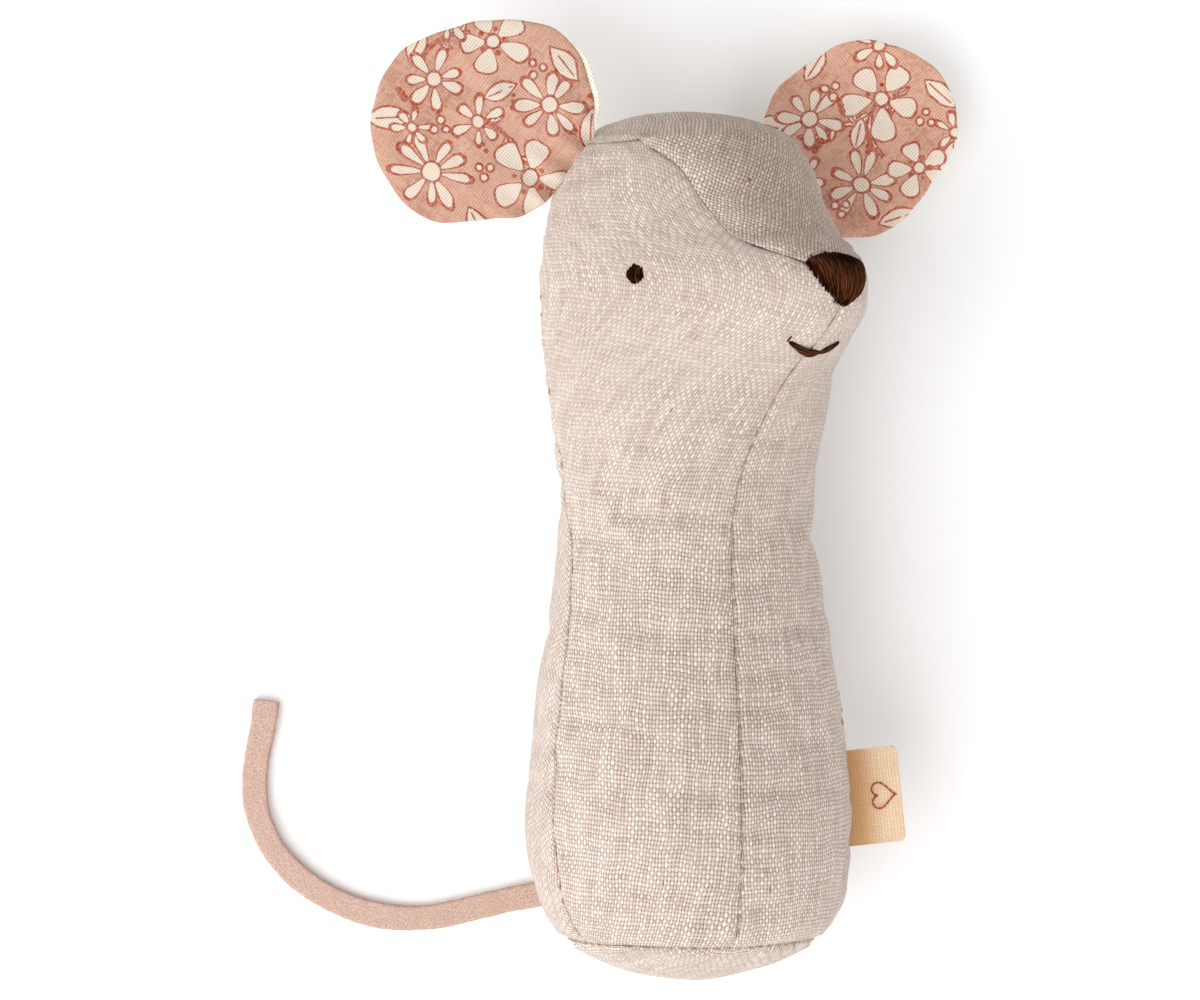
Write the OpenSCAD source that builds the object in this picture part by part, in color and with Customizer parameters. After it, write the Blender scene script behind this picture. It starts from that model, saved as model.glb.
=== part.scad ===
// Soft stuffed mouse rattle lying on its back, head towards +Y, face turned up and to +X.
// Left and right are the mouse's own. The origin is under the middle of the mouse without its tail.

/* [Body] */
// Length of the body from the bottom of the base panel to the crown
body_length = 136; // [120:1:150]
// Half of the widest belly width
belly_r = 25.5; // [23:0.5:27]
// How far the snout stands proud of the round of the head
snout_reach = 17; // [12:1:20]
// Depth of the base panel below its seam
base_bulge = 6; // [4:0.5:8]
// Height of the crown above the top of the side panels
crown_rise = 5; // [4:0.5:6]
// Thickness of the linen cover
cover_t = 0.6; // [0.4:0.1:0.8]
// Roll of the belly about the body's length, towards +X
body_turn = 19; // [0:1:25]
// Roll of the head about the body's length, towards +X
head_turn = 37; // [0:1:40]

/* [Ears] */
// Thickness of each of the two cloth layers of an ear
ear_layer_t = 0.6; // [0.4:0.1:0.8]
// Size of the ears relative to their outlines
ear_scale = 1; // [0.85:0.01:1]

/* [Tail] */
// Width of the suede strip
tail_w = 4; // [3:0.5:5]
// Thickness of the suede strip
tail_t = 1.8; // [1.2:0.2:2]

/* [Label] */
// How far the folded tape stands out of the side seam
label_reach = 7.2; // [6:0.2:9]
// Width of the tape along the seam
label_w = 15; // [10:0.5:16]

/* [Rattle] */
// Outer diameter of the plastic rattle capsule
capsule_d = 28; // [24:1:30]
// Outer height of the capsule
capsule_h = 21; // [18:1:22]
// Wall of the capsule
capsule_wall = 1.2; // [1:0.1:1.5]
// Diameter of each rattle ball
ball_d = 5; // [4:0.5:6]

/* [Hidden] */

linen = "#d9cdbd";
print_pink = "#dba995";
lining_cream = "#e8dcc6";
thread_brown = "#3c2318";
thread_tan = "#a98a68";
suede_pink = "#e2bfae";
tape_cream = "#ead5b0";
fibre_white = "#f4f2ee";
capsule_white = "#eceff1";
ball_orange = "#d98b45";

// Sections of the cover from the base seam to the top of the side panels. Each row holds the
// height as a share of the length, then the half width, the back depth and the front depth as
// shares of belly_r, and the share of the snout that the section carries.
sections = [
    [0.044, 0.770, 0.770, 0.770, 0.00],
    [0.068, 0.870, 0.870, 0.860, 0.00],
    [0.100, 0.940, 0.935, 0.910, 0.00],
    [0.140, 0.985, 0.980, 0.950, 0.00],
    [0.205, 1.000, 0.990, 0.960, 0.00],
    [0.310, 0.950, 0.950, 0.925, 0.00],
    [0.410, 0.865, 0.875, 0.865, 0.00],
    [0.510, 0.785, 0.810, 0.835, 0.00],
    [0.590, 0.780, 0.800, 0.885, 0.00],
    [0.650, 0.825, 0.830, 0.950, 0.04],
    [0.695, 0.855, 0.860, 0.935, 0.27],
    [0.735, 0.875, 0.880, 0.920, 0.68],
    [0.768, 0.886, 0.888, 0.912, 0.96],
    [0.798, 0.886, 0.892, 0.915, 1.00],
    [0.826, 0.874, 0.882, 0.920, 0.84],
    [0.858, 0.850, 0.862, 0.930, 0.44],
    [0.894, 0.800, 0.820, 0.940, 0.13],
    [0.930, 0.730, 0.755, 0.915, 0.02],
    [0.963, 0.640, 0.670, 0.820, 0.00]
];
// Angle from the front to the side seams, at shares of the length
side_seam = [[0.044, 75], [0.35, 75], [0.45, 78], [0.51, 84], [0.57, 98], [0.68, 118],
             [0.79, 127], [0.88, 126], [0.93, 116], [0.963, 104]];
// Angle from the front to the seams of the forehead strip, from its tip to the crown
forehead_seam = [[0.795, 1], [0.818, 15], [0.84, 27], [0.88, 34], [0.93, 46], [0.963, 66]];
snout_sharpness = 3;
crown_power = 0.75;
seam_y = sections[0][0] * body_length;
crown_y = sections[len(sections) - 1][0] * body_length;
tip_y = forehead_seam[0][0] * body_length;

// The neck twists between these shares of the length
twist_from = 0.52;
twist_to = 0.74;
// Where the body's axis stands, how much it drops towards the head, and how it leans to -X
axis_z = 24.5;
axis_drop = 0.029;
axis_lean = 0.012;
belly_y = 28;
axis_x = 2.9;
// From the bottom of the base panel to the origin
origin_y = 74.9;

row_step = 4.2;
brow_step = 2.6;
side_cols = 9;
back_cols = 20;
crown_rows = 6;
base_cols = 36;
base_rings = 4;
fill_cols = 36;
fill_inset = cover_t + 0.6;

// Stitches that show along the seams
stitch_pitch = 2.4;
stitch_length = 1.5;
thread_r = 0.16;
thread_lift = thread_r + 0.2;
stitch_margin = 2;
base_stitch_y = seam_y + 0.3;
ear_low_y = 0.86 * body_length;

// The capsule stands upright in the belly as the mouse lies
capsule_at = [axis_x + 0.5, belly_y + 2 - origin_y, axis_z - 0.2];
pocket_gap = 0.1;
round_fn = 96;
lip_depth = 2;
lip_gap = 0.05;
lip_t = 1;
ball_gap = 0.05;
ball_circle_r = 7.5;

// Ear outlines: radius every 30 degrees, from the outward direction towards the top
ear_left_radii = [16.3, 16.3, 16.1, 15.3, 16.2, 16.4, 16.4, 16.2, 15.8, 13.7, 13.4, 15.5];
ear_right_radii = [17.3, 15.8, 16.0, 18.3, 18.2, 17.2, 15.4, 16.0, 16.3, 19.2, 19.0, 18.4];
// Middle of each ear, its tilt about X and Y, and where its sewn edge is cut
ear_left_at = [31.3, 57.9, 7.4];
ear_right_at = [-28.2, 59.5, 27.8];
ear_left_tilt = [14, -4];
ear_right_tilt = [18, -8];
ear_left_root = -14.5;
ear_right_root = -14;
ear_splay = 37.4;

// Embroidery: angles from the front in degrees, heights from the bottom in millimetres
pad_lift = 0.15;
eye_angle = 60;
eye_y = 109.5;
eye_half = [2.7, 1.6];
eye_rise = 0.6;
nose_y = 107.9;
nose_rise = 0.9;
nose_outline = [[0, -4.2], [3.2, -3.4], [7.5, -1], [11.5, 1.4],
                [13.5, 2.8], [11, 3.6], [5.5, 3.8], [0, 3.8]];
pad_shares = [0.35, 0.75, 1];
pad_heights = [1, 0.85, 0.4];
mouth_y = 97.6;
mouth_half = 13;
mouth_lift = 1.7;
mouth_half_w = 0.5;
mouth_rise = 0.6;
mouth_edge = 0.15;

// Middle of the strip from where it leaves the back to its cut end, lying on the surface
tail_route = [
    [-7.5, -61.9, 1.6], [-10.5, -62.1, 1.45], [-14, -62.5, 1.15], [-17.5, -63.1, 0.95],
    [-21, -63.7, 0.92], [-26.9, -64.9, 0.92], [-32.3, -66.2, 0.92], [-37.4, -67.3, 0.92],
    [-42, -67.6, 0.92], [-46.5, -67.2, 0.92], [-50.7, -66.1, 0.92], [-54.5, -64.5, 0.92],
    [-58, -62.4, 0.92], [-61.3, -59.6, 0.92], [-64, -56.3, 0.92], [-65.8, -52.6, 0.92],
    [-66.8, -48.7, 0.92], [-66.9, -44.9, 0.92], [-66.5, -41.2, 0.92], [-65.7, -37.4, 0.92],
    [-65, -32.4, 0.92]
];

label_at = [29.6, -46.8, 22.2];
label_skew = 6;
label_t = 1.2;
fold_gap = 0.1;

// ---- interpolation and the body's surface ----

function smooth(x) = x <= 0 ? 0 : x >= 1 ? 1 : x * x * (3 - 2 * x);
function span(table, x, i = 0) =
    i >= len(table) - 2 || x < table[i + 1][0] ? i : span(table, x, i + 1);
// Cubic through the rows of a table, with slopes from the neighbours on each side
function slope(table, i, k) =
    let(lo = max(i - 1, 0), hi = min(i + 1, len(table) - 1))
    (table[hi][k] - table[lo][k]) / (table[hi][0] - table[lo][0]);
function along(table, x, k) =
    let(i = span(table, x),
        gap = table[i + 1][0] - table[i][0],
        t = min(1, max(0, (x - table[i][0]) / gap)))
    (2 * t ^ 3 - 3 * t ^ 2 + 1) * table[i][k] + (t ^ 3 - 2 * t ^ 2 + t) * gap * slope(table, i, k)
    + (3 * t ^ 2 - 2 * t ^ 3) * table[i + 1][k] + (t ^ 3 - t ^ 2) * gap * slope(table, i + 1, k);

function turn_at(y) =
    body_turn + (head_turn - body_turn)
    * smooth((y / body_length - twist_from) / (twist_to - twist_from));

// Section point at angle a from the front: [towards the mouse's left, towards its front]
function section_point(a, y) =
    let(s = y / body_length, c = cos(a))
    c < 0 ? belly_r * [along(sections, s, 1) * sin(a), along(sections, s, 2) * c]
          : [belly_r * along(sections, s, 1) * sin(a),
             belly_r * along(sections, s, 3) * c
             + snout_reach * along(sections, s, 4) * c ^ snout_sharpness];

// From the mouse's own [left, along, front] to the resting place, kept above depth `inset`
function placed(p, inset = 0) =
    let(t = turn_at(p[1]))
    [axis_x - (p[1] - body_length / 2) * axis_lean + p[2] * sin(t) + p[0] * cos(t),
     p[1] - origin_y,
     max(inset, axis_z - (p[1] - belly_y) * axis_drop + p[2] * cos(t) - p[0] * sin(t))];

function skin(a, y, inset = 0) =
    let(q = section_point(a, y), k = 1 - inset / norm(q))
    placed([q[0] * k, y, q[1] * k], inset);

// A point above the top of the side panels; q is in the plane of that section
function crown(q, inset = 0) =
    let(side_share = q[0] / along(sections, 1, 1),
        front_share = q[1] / along(sections, 1, q[1] < 0 ? 2 : 3),
        edge = section_point(atan2(side_share, front_share), crown_y),
        share = min(1, norm(q) / norm(edge)),
        k = 1 - inset / norm(edge))
    placed([q[0] * k, crown_y + (crown_rise - inset) * (1 - share ^ 2) ^ crown_power, q[1] * k], inset);

// A point on the base panel at angle a and share r of the seam's radius
function base_skin(a, r, inset = 0) =
    let(q = section_point(a, seam_y) * r, k = 1 - inset / (belly_r * sections[0][1]))
    placed([q[0] * k, seam_y - (base_bulge - inset) * (1 - r ^ 2), q[1] * k], inset);

function steps(lo, hi, size) =
    let(n = max(1, round((hi - lo) / size)))
    [for (i = [0:n]) lo + (hi - lo) * i / n];

// ---- building closed solids from grids of points ----

function flat_list(rows) = [for (r = rows) for (p = r) p];

// A closed slab between two grids of the same size
module slab(outer, inner) {
    n = len(outer);
    m = len(outer[0]);
    base = n * m;
    at = function(i, j) i * m + j;
    quad = function(a, b, c, d) [[a, c, b], [a, d, c]];
    faces = [
        for (i = [0:n - 2], j = [0:m - 2])
            each quad(at(i, j), at(i + 1, j), at(i + 1, j + 1), at(i, j + 1)),
        for (i = [0:n - 2], j = [0:m - 2])
            each quad(base + at(i, j), base + at(i, j + 1), base + at(i + 1, j + 1), base + at(i + 1, j)),
        for (i = [0:n - 2])
            each quad(at(i, 0), base + at(i, 0), base + at(i + 1, 0), at(i + 1, 0)),
        for (i = [0:n - 2])
            each quad(at(i, m - 1), at(i + 1, m - 1), base + at(i + 1, m - 1), base + at(i, m - 1)),
        for (j = [0:m - 2])
            each quad(at(0, j), at(0, j + 1), base + at(0, j + 1), base + at(0, j)),
        for (j = [0:m - 2])
            each quad(at(n - 1, j), base + at(n - 1, j), base + at(n - 1, j + 1), at(n - 1, j + 1))
    ];
    polyhedron(concat(flat_list(outer), flat_list(inner)), faces);
}

// A closed solid through rings of equal size, with a point at each end
module lofted(first, rings, last) {
    n = len(rings);
    m = len(rings[0]);
    at = function(i, j) 1 + i * m + j % m;
    faces = [
        for (j = [0:m - 1]) [0, at(0, j), at(0, j + 1)],
        for (i = [0:n - 2], j = [0:m - 1])
            each [[at(i, j), at(i + 1, j + 1), at(i, j + 1)], [at(i, j), at(i + 1, j), at(i + 1, j + 1)]],
        for (j = [0:m - 1]) [1 + n * m, at(n - 1, j + 1), at(n - 1, j)]
    ];
    polyhedron(concat([first], flat_list(rings), [last]), faces);
}

// ---- cover ----

function side_edge(y) = along(side_seam, y / body_length, 1);
function front_edge(y) = y < tip_y ? 0 : along(forehead_seam, y / body_length, 1);
side_rows = concat(steps(seam_y, tip_y - 1, row_step), steps(tip_y, crown_y, brow_step));

// side is 1 for the mouse's left and -1 for its right
module side_panel(side) {
    angle = function(y, share) side * (front_edge(y) + (side_edge(y) - front_edge(y)) * share);
    grid = function(inset) [
        for (y = side_rows) [
            for (j = [0:side_cols])
                skin(angle(y, side > 0 ? 1 - j / side_cols : j / side_cols), y, inset)
        ]
    ];
    color(linen) slab(grid(0), grid(cover_t));
}

module side_panel_left() {
    side_panel(1);
}

module side_panel_right() {
    side_panel(-1);
}

// Angles across the strip on the back and on the forehead, from the mouse's right to its left
function back_angle(y, j) = -side_edge(y) - (360 - 2 * side_edge(y)) * j / back_cols;
function brow_angle(y, j) = front_edge(y) * (2 * j / back_cols - 1);

// A point of the strip on the crown, share t of the way from the back to the forehead
function crown_point(t, j, inset) =
    let(edge_angle = side_edge(crown_y) + (front_edge(crown_y) - side_edge(crown_y)) * t,
        back_point = section_point(back_angle(crown_y, j), crown_y),
        brow_point = section_point(brow_angle(crown_y, j), crown_y))
    j == 0 ? skin(-edge_angle, crown_y, inset)
    : j == back_cols ? skin(edge_angle, crown_y, inset)
    : crown(back_point * (1 - t) + brow_point * t, inset);

// One strip from the tip of the nose over the crown and down the back
brow_rows = steps(tip_y, crown_y, brow_step);
function strip_grid(inset) = concat(
    [for (y = steps(seam_y, crown_y, row_step)) [for (j = [0:back_cols]) skin(back_angle(y, j), y, inset)]],
    [for (i = [1:crown_rows - 1]) [for (j = [0:back_cols]) crown_point(i / crown_rows, j, inset)]],
    [for (k = [len(brow_rows) - 1:-1:0])
        let(y = brow_rows[k])
        [for (j = [0:back_cols]) skin(brow_angle(y, j), y, inset)]]
);

module back_panel() {
    color(linen) slab(strip_grid(0), strip_grid(cover_t));
}

module base_panel() {
    turns = [0:360 / base_cols:359];
    ring = function(r, inset) [for (a = turns) base_skin(a, r, inset)];
    shares = [for (i = [1:base_rings]) i / base_rings];
    outer = [for (r = shares) ring(r, 0)];
    inner = [for (i = [len(shares) - 1:-1:0]) ring(shares[i], cover_t)];
    color(linen) lofted(base_skin(0, 0.001, 0), concat(outer, inner), base_skin(0, 0.001, cover_t));
}

// ---- sewing thread ----

module rod(from, to, r) {
    d = to - from;
    translate(from)
        rotate([0, acos(d[2] / norm(d)), atan2(d[1], d[0])])
            cylinder(h = norm(d), r = r, $fn = 24);
}

// One stitch on the cover, left out where the cover rests on the surface
module stitch(from, to) {
    if (min(from[2], to[2]) > 2 * thread_r) rod(from, to, thread_r);
}

// Stitches along a seam; the seam's angle from the front is given for each height
module stitches(seam_angle, low, high) {
    for (y = [low:stitch_pitch:high]) {
        up = y + stitch_length;
        stitch(skin(seam_angle(y), y, -thread_lift), skin(seam_angle(up), up, -thread_lift));
    }
}

module front_seam_thread() {
    color(thread_tan) stitches(function(y) 0, seam_y + stitch_margin, mouth_y - stitch_length - 1);
}

module side_seam_thread_left() {
    color(thread_tan) stitches(function(y) side_edge(y), seam_y + stitch_margin, ear_low_y);
}

module side_seam_thread_right() {
    color(thread_tan) stitches(function(y) -side_edge(y), seam_y + stitch_margin, ear_low_y);
}

// The stretch of the base seam that faces up as the mouse lies
module base_seam_thread() {
    step = stitch_pitch / belly_r * 180 / PI;
    reach = stitch_length / belly_r * 180 / PI;
    color(thread_tan)
        for (a = [-120 - body_turn:step:120 - body_turn])
            stitch(skin(a, base_stitch_y, -thread_lift), skin(a + reach, base_stitch_y, -thread_lift));
}

// ---- filling and rattle ----

module stuffing() {
    turns = [0:360 / fill_cols:359];
    ring = function(y) [for (a = turns) skin(a, y, fill_inset)];
    low = [for (r = [0.35, 0.7, 0.9]) [for (a = turns) base_skin(a, r, fill_inset)]];
    high = [for (r = [0.85, 0.6, 0.3]) [for (a = turns) crown(section_point(a, crown_y) * r, fill_inset)]];
    rings = concat(low, [for (y = steps(seam_y + 0.5, crown_y - 0.2, row_step)) ring(y)], high);
    color(fibre_white)
        difference() {
            lofted(base_skin(0, 0.001, fill_inset), rings, crown([0, 0.01], fill_inset));
            translate(capsule_at)
                cylinder(h = capsule_h + 2 * pocket_gap, d = capsule_d + 2 * pocket_gap, center = true,
                         $fn = round_fn);
        }
}

// Lower cup of the capsule
module capsule_lower() {
    color(capsule_white)
        translate(capsule_at - [0, 0, capsule_h / 2])
            difference() {
                cylinder(h = capsule_h / 2, r = capsule_d / 2, $fn = round_fn);
                translate([0, 0, capsule_wall])
                    cylinder(h = capsule_h, r = capsule_d / 2 - capsule_wall, $fn = round_fn);
            }
}

// Upper cup, with a lip that snaps inside the lower one
module capsule_upper() {
    bore_r = capsule_d / 2 - capsule_wall;
    lip_r = bore_r - lip_gap;
    color(capsule_white)
        translate(capsule_at) {
            difference() {
                cylinder(h = capsule_h / 2, r = capsule_d / 2, $fn = round_fn);
                translate([0, 0, -1])
                    cylinder(h = capsule_h / 2 - capsule_wall + 1, r = bore_r, $fn = round_fn);
            }
            difference() {
                union() {
                    translate([0, 0, -lip_depth])
                        cylinder(h = 2 * lip_depth, r = lip_r, $fn = round_fn);
                    cylinder(h = lip_depth, r = bore_r + lip_gap, $fn = round_fn);
                }
                translate([0, 0, -lip_depth - 1])
                    cylinder(h = 3 * lip_depth + 1, r = lip_r - lip_t, $fn = round_fn);
            }
        }
}

module ball(i) {
    spread = i == 0 ? 0 : ball_circle_r;
    floor_z = capsule_wall + ball_d / 2 + ball_gap - capsule_h / 2;
    color(ball_orange)
        translate(capsule_at + [spread * cos(90 * i + 45), spread * sin(90 * i + 45), floor_z])
            sphere(d = ball_d, $fn = 48);
}

module ball_1() {
    ball(0);
}

module ball_2() {
    ball(1);
}

module ball_3() {
    ball(2);
}

module ball_4() {
    ball(3);
}

module ball_5() {
    ball(4);
}

// ---- ears ----

// Radius of an outline at angle a, through radii that are 30 degrees apart
function wrap_radius(radii, a) =
    let(n = len(radii), p = a / 30, i = floor(p), t = p - i,
        r0 = radii[(i + n - 1) % n], r1 = radii[i % n], r2 = radii[(i + 1) % n], r3 = radii[(i + 2) % n])
    r1 + 0.5 * t * (r2 - r0 + t * (2 * r0 - 5 * r1 + 4 * r2 - r3 + t * (3 * (r1 - r2) + r3 - r0)));

// One flat cloth layer of an ear, outwards along +X, with its sewn edge cut straight
module ear_layer(radii, root_x, z) {
    reach = 30;
    translate([0, 0, z])
        linear_extrude(ear_layer_t)
            intersection() {
                polygon([for (a = [0:10:350]) ear_scale * wrap_radius(radii, a) * [cos(a), sin(a)]]);
                translate([root_x, -reach]) square([2 * reach, 2 * reach]);
            }
}

module ear_left(z) {
    translate(ear_left_at)
        rotate([ear_left_tilt[0], ear_left_tilt[1], 0])
            rotate([0, 0, ear_splay])
                ear_layer(ear_left_radii, ear_left_root, z);
}

module ear_right(z) {
    translate(ear_right_at)
        rotate([ear_right_tilt[0], ear_right_tilt[1], 0])
            mirror([1, 0, 0])
                rotate([0, 0, ear_splay])
                    ear_layer(ear_right_radii, ear_right_root, z);
}

module ear_print_left() {
    color(print_pink) ear_left(0);
}

module ear_lining_left() {
    color(lining_cream) ear_left(-ear_layer_t);
}

module ear_print_right() {
    color(print_pink) ear_right(0);
}

module ear_lining_right() {
    color(lining_cream) ear_right(-ear_layer_t);
}

// ---- embroidery ----

// A domed pad on the cover around [angle, height]; outline holds [angle, height] offsets
module pad(middle, outline, rise) {
    m = len(outline);
    ring = function(r, lift)
        [for (j = [0:m - 1]) skin(middle[0] + r * outline[j][0], middle[1] + r * outline[j][1], -lift)];
    top = [for (i = [0:2]) ring(pad_shares[i], pad_heights[i] * rise)];
    under = [for (i = [2:-1:0]) ring(pad_shares[i], pad_lift)];
    lofted(skin(middle[0], middle[1], -rise), concat(top, under), skin(middle[0], middle[1], -pad_lift));
}

module eye(side) {
    outline = [for (t = [0:30:330]) [eye_half[0] * sin(t), eye_half[1] * cos(t)]];
    color(thread_brown) pad([side * eye_angle, eye_y], outline, eye_rise);
}

module eye_left() {
    eye(1);
}

module eye_right() {
    eye(-1);
}

module nose() {
    n = len(nose_outline);
    right_half = [for (i = [0:n - 1]) [-nose_outline[i][0], nose_outline[i][1]]];
    left_half = [for (i = [n - 2:-1:1]) nose_outline[i]];
    color(thread_brown) pad([0, nose_y], concat(right_half, left_half), nose_rise);
}

module mouth() {
    arc = [-mouth_half:mouth_half / 6:mouth_half];
    drop = function(a) mouth_y + mouth_lift * (a / mouth_half) ^ 2;
    half_w = function(a) mouth_half_w * (1 - 0.6 * (a / mouth_half) ^ 2);
    row = function(s, rise) [for (a = arc) skin(a, drop(a) + s * half_w(a), -rise)];
    grid = function(edge_rise, mid_rise) [row(1, edge_rise), row(0, mid_rise), row(-1, edge_rise)];
    color(thread_brown) slab(grid(pad_lift + mouth_edge, mouth_rise), grid(pad_lift, pad_lift));
}

// ---- tail ----

module tail() {
    n = len(tail_route);
    half_w = tail_w / 2;
    half_t = tail_t / 2;
    cut = 0.25;
    profile = [[-half_w, -half_t + cut], [-half_w + cut, -half_t],
               [half_w - cut, -half_t], [half_w, -half_t + cut],
               [half_w, half_t - cut], [half_w - cut, half_t],
               [-half_w + cut, half_t], [-half_w, half_t - cut]];
    side_of = function(i)
        let(d = tail_route[min(i + 1, n - 1)] - tail_route[max(i - 1, 0)], l = norm([d[0], d[1]]))
        [-d[1] / l, d[0] / l, 0];
    rings = [for (i = [0:n - 1]) [for (q = profile) tail_route[i] + q[0] * side_of(i) + [0, 0, q[1]]]];
    color(suede_pink) lofted(tail_route[0], rings, tail_route[n - 1]);
}

// ---- label ----

// Tape folded back on itself, with both cut ends at the seam
module label() {
    layer = (label_t - fold_gap) / 2;
    color(tape_cream)
        translate(label_at)
            rotate([0, 0, label_skew])
                rotate([90, 0, 0])
                    linear_extrude(label_w, center = true)
                        difference() {
                            union() {
                                translate([0, -label_t / 2]) square([label_reach - label_t / 2, label_t]);
                                translate([label_reach - label_t / 2, 0]) circle(d = label_t, $fn = 32);
                            }
                            translate([-1, -fold_gap / 2]) square([label_reach - layer, fold_gap]);
                        }
}

side_panel_left();
side_panel_right();
back_panel();
base_panel();
front_seam_thread();
side_seam_thread_left();
side_seam_thread_right();
base_seam_thread();
stuffing();
capsule_lower();
capsule_upper();
ball_1();
ball_2();
ball_3();
ball_4();
ball_5();
ear_print_left();
ear_lining_left();
ear_print_right();
ear_lining_right();
eye_left();
eye_right();
nose();
mouth();
tail();
label();
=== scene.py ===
"""Looks of a soft linen mouse rattle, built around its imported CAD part.

Shapes are worked out in millimetres and turned into metres when a mesh is made.
"""

import math

import bpy
import numpy as np
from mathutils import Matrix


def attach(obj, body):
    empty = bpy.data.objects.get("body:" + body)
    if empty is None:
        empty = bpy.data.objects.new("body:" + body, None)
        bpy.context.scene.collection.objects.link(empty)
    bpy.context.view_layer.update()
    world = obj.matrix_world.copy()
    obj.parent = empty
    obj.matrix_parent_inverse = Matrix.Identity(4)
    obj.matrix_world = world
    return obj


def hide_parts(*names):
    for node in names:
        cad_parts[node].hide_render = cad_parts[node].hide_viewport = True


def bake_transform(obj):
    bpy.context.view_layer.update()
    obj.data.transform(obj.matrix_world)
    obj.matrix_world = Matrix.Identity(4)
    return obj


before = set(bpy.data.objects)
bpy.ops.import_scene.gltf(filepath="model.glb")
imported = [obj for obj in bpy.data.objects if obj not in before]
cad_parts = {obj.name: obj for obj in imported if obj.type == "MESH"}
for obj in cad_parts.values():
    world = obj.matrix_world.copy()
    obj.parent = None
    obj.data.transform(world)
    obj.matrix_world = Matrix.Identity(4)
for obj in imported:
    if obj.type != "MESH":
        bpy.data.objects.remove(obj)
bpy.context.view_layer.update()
MM = 0.001

# ---------------------------------------------------------------- camera, straight above as in the photo

camera_data = bpy.data.cameras.new("camera")
camera_data.sensor_width = 36
camera_data.lens = 143.3
camera_data.shift_x = -0.054
camera_data.clip_start = 0.01
camera = bpy.data.objects.new("camera", camera_data)
camera.location = (-0.0005, 0.0001, 0.775)
bpy.context.scene.collection.objects.link(camera)
bpy.context.scene.camera = camera
bpy.context.scene.view_settings.view_transform = "Standard"

# ---------------------------------------------------------------- numbers and vectors


def compass(degrees):
    """Cosine and sine of an angle."""
    return math.cos(math.radians(degrees)), math.sin(math.radians(degrees))


def smoothstep(x):
    """From 0 to 1 as x does, level at both ends."""
    x = np.clip(x, 0, 1)
    return x * x * (3 - 2 * x)


def bell(x):
    """One at x = 0, falling to zero on both sides."""
    return np.exp(-(x**2))


def unit(vectors):
    return vectors / np.maximum(np.linalg.norm(vectors, axis=-1, keepdims=True), 1e-9)


def normals(points):
    """Unit normals of a grid of points."""
    return unit(np.cross(np.gradient(points, axis=1), np.gradient(points, axis=0)))


def run_length(points, axis):
    """Distance travelled along one axis of a grid of points."""
    step = np.linalg.norm(np.diff(points, axis=axis), axis=-1)
    start = np.zeros_like(np.take(step, [0], axis))
    return np.concatenate([start, np.cumsum(step, axis)], axis)


def rotation(axis, degrees):
    c, s = compass(degrees)
    i, j = ((1, 2), (2, 0), (0, 1))[axis]
    m = np.eye(3)
    m[i, i] = m[j, j] = c
    m[i, j], m[j, i] = -s, s
    return m


LATTICE_SIZE = 32
LATTICE = np.random.default_rng(7).random((LATTICE_SIZE, LATTICE_SIZE, LATTICE_SIZE, 3)) * 2 - 1


def noise(points, size, channel=0):
    """Smooth noise from -1 to 1 that varies over `size` millimetres."""
    p = np.asarray(points) / size + 100
    i = np.floor(p).astype(int)
    f = smoothstep(p - i)
    total = 0
    for corner in np.ndindex(2, 2, 2):
        weight = np.abs(1 - np.array(corner) - f).prod(-1)
        at = (i + corner) % LATTICE_SIZE
        total = total + weight * LATTICE[at[..., 0], at[..., 1], at[..., 2], channel]
    return total


def along(table, x, k):
    """Cubic through the rows of a table, with slopes from the neighbours on each side."""
    x = np.asarray(x, float)
    i = np.clip(np.searchsorted(table[:, 0], x, side="right") - 1, 0, len(table) - 2)
    rows = np.arange(len(table))
    lo, hi = np.maximum(rows - 1, 0), np.minimum(rows + 1, len(table) - 1)
    slope = (table[hi, k] - table[lo, k]) / (table[hi, 0] - table[lo, 0])
    gap = table[i + 1, 0] - table[i, 0]
    t = np.clip((x - table[i, 0]) / gap, 0, 1)
    return (
        (2 * t**3 - 3 * t**2 + 1) * table[i, k]
        + (t**3 - 2 * t**2 + t) * gap * slope[i]
        + (3 * t**2 - 2 * t**3) * table[i + 1, k]
        + (t**3 - t**2) * gap * slope[i + 1]
    )


# ---------------------------------------------------------------- meshes


def mesh_object(name, points, faces, attributes=None):
    """A smooth mesh from points in millimetres; attributes are {name: numbers or vectors} at the points."""
    mesh = bpy.data.meshes.new(name)
    mesh.from_pydata((np.asarray(points) * MM).tolist(), [], [list(map(int, f)) for f in faces])
    for key, values in (attributes or {}).items():
        kind, field = ("FLOAT_VECTOR", "vector") if np.ndim(values) > 1 else ("FLOAT", "value")
        layer = mesh.attributes.new(key, kind, "POINT")
        layer.data.foreach_set(field, np.asarray(values, np.float32).ravel())
    mesh.shade_smooth()
    mesh.validate()
    obj = bpy.data.objects.new(name, mesh)
    bpy.context.scene.collection.objects.link(obj)
    return obj


def stacked(*grids):
    """Grids of points or numbers, one after another in a single list."""
    return np.concatenate([grid.reshape(-1, *grid.shape[2:]) for grid in grids])


def above(points, height):
    """The points, none of them lower over the floor than a height."""
    points[..., 2] = np.maximum(points[..., 2], height)
    return points


def grid_faces(rows, cols, start=0, wrap=False, flip=False):
    """Quads of a grid of points; wrap joins the last column to the first."""
    i, j = np.meshgrid(np.arange(rows - 1), np.arange(cols if wrap else cols - 1), indexing="ij")
    k = (j + 1) % cols
    quads = np.stack([i * cols + j, i * cols + k, (i + 1) * cols + k, (i + 1) * cols + j], -1).reshape(-1, 4)
    return (quads[:, ::-1] if flip else quads) + start


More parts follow.
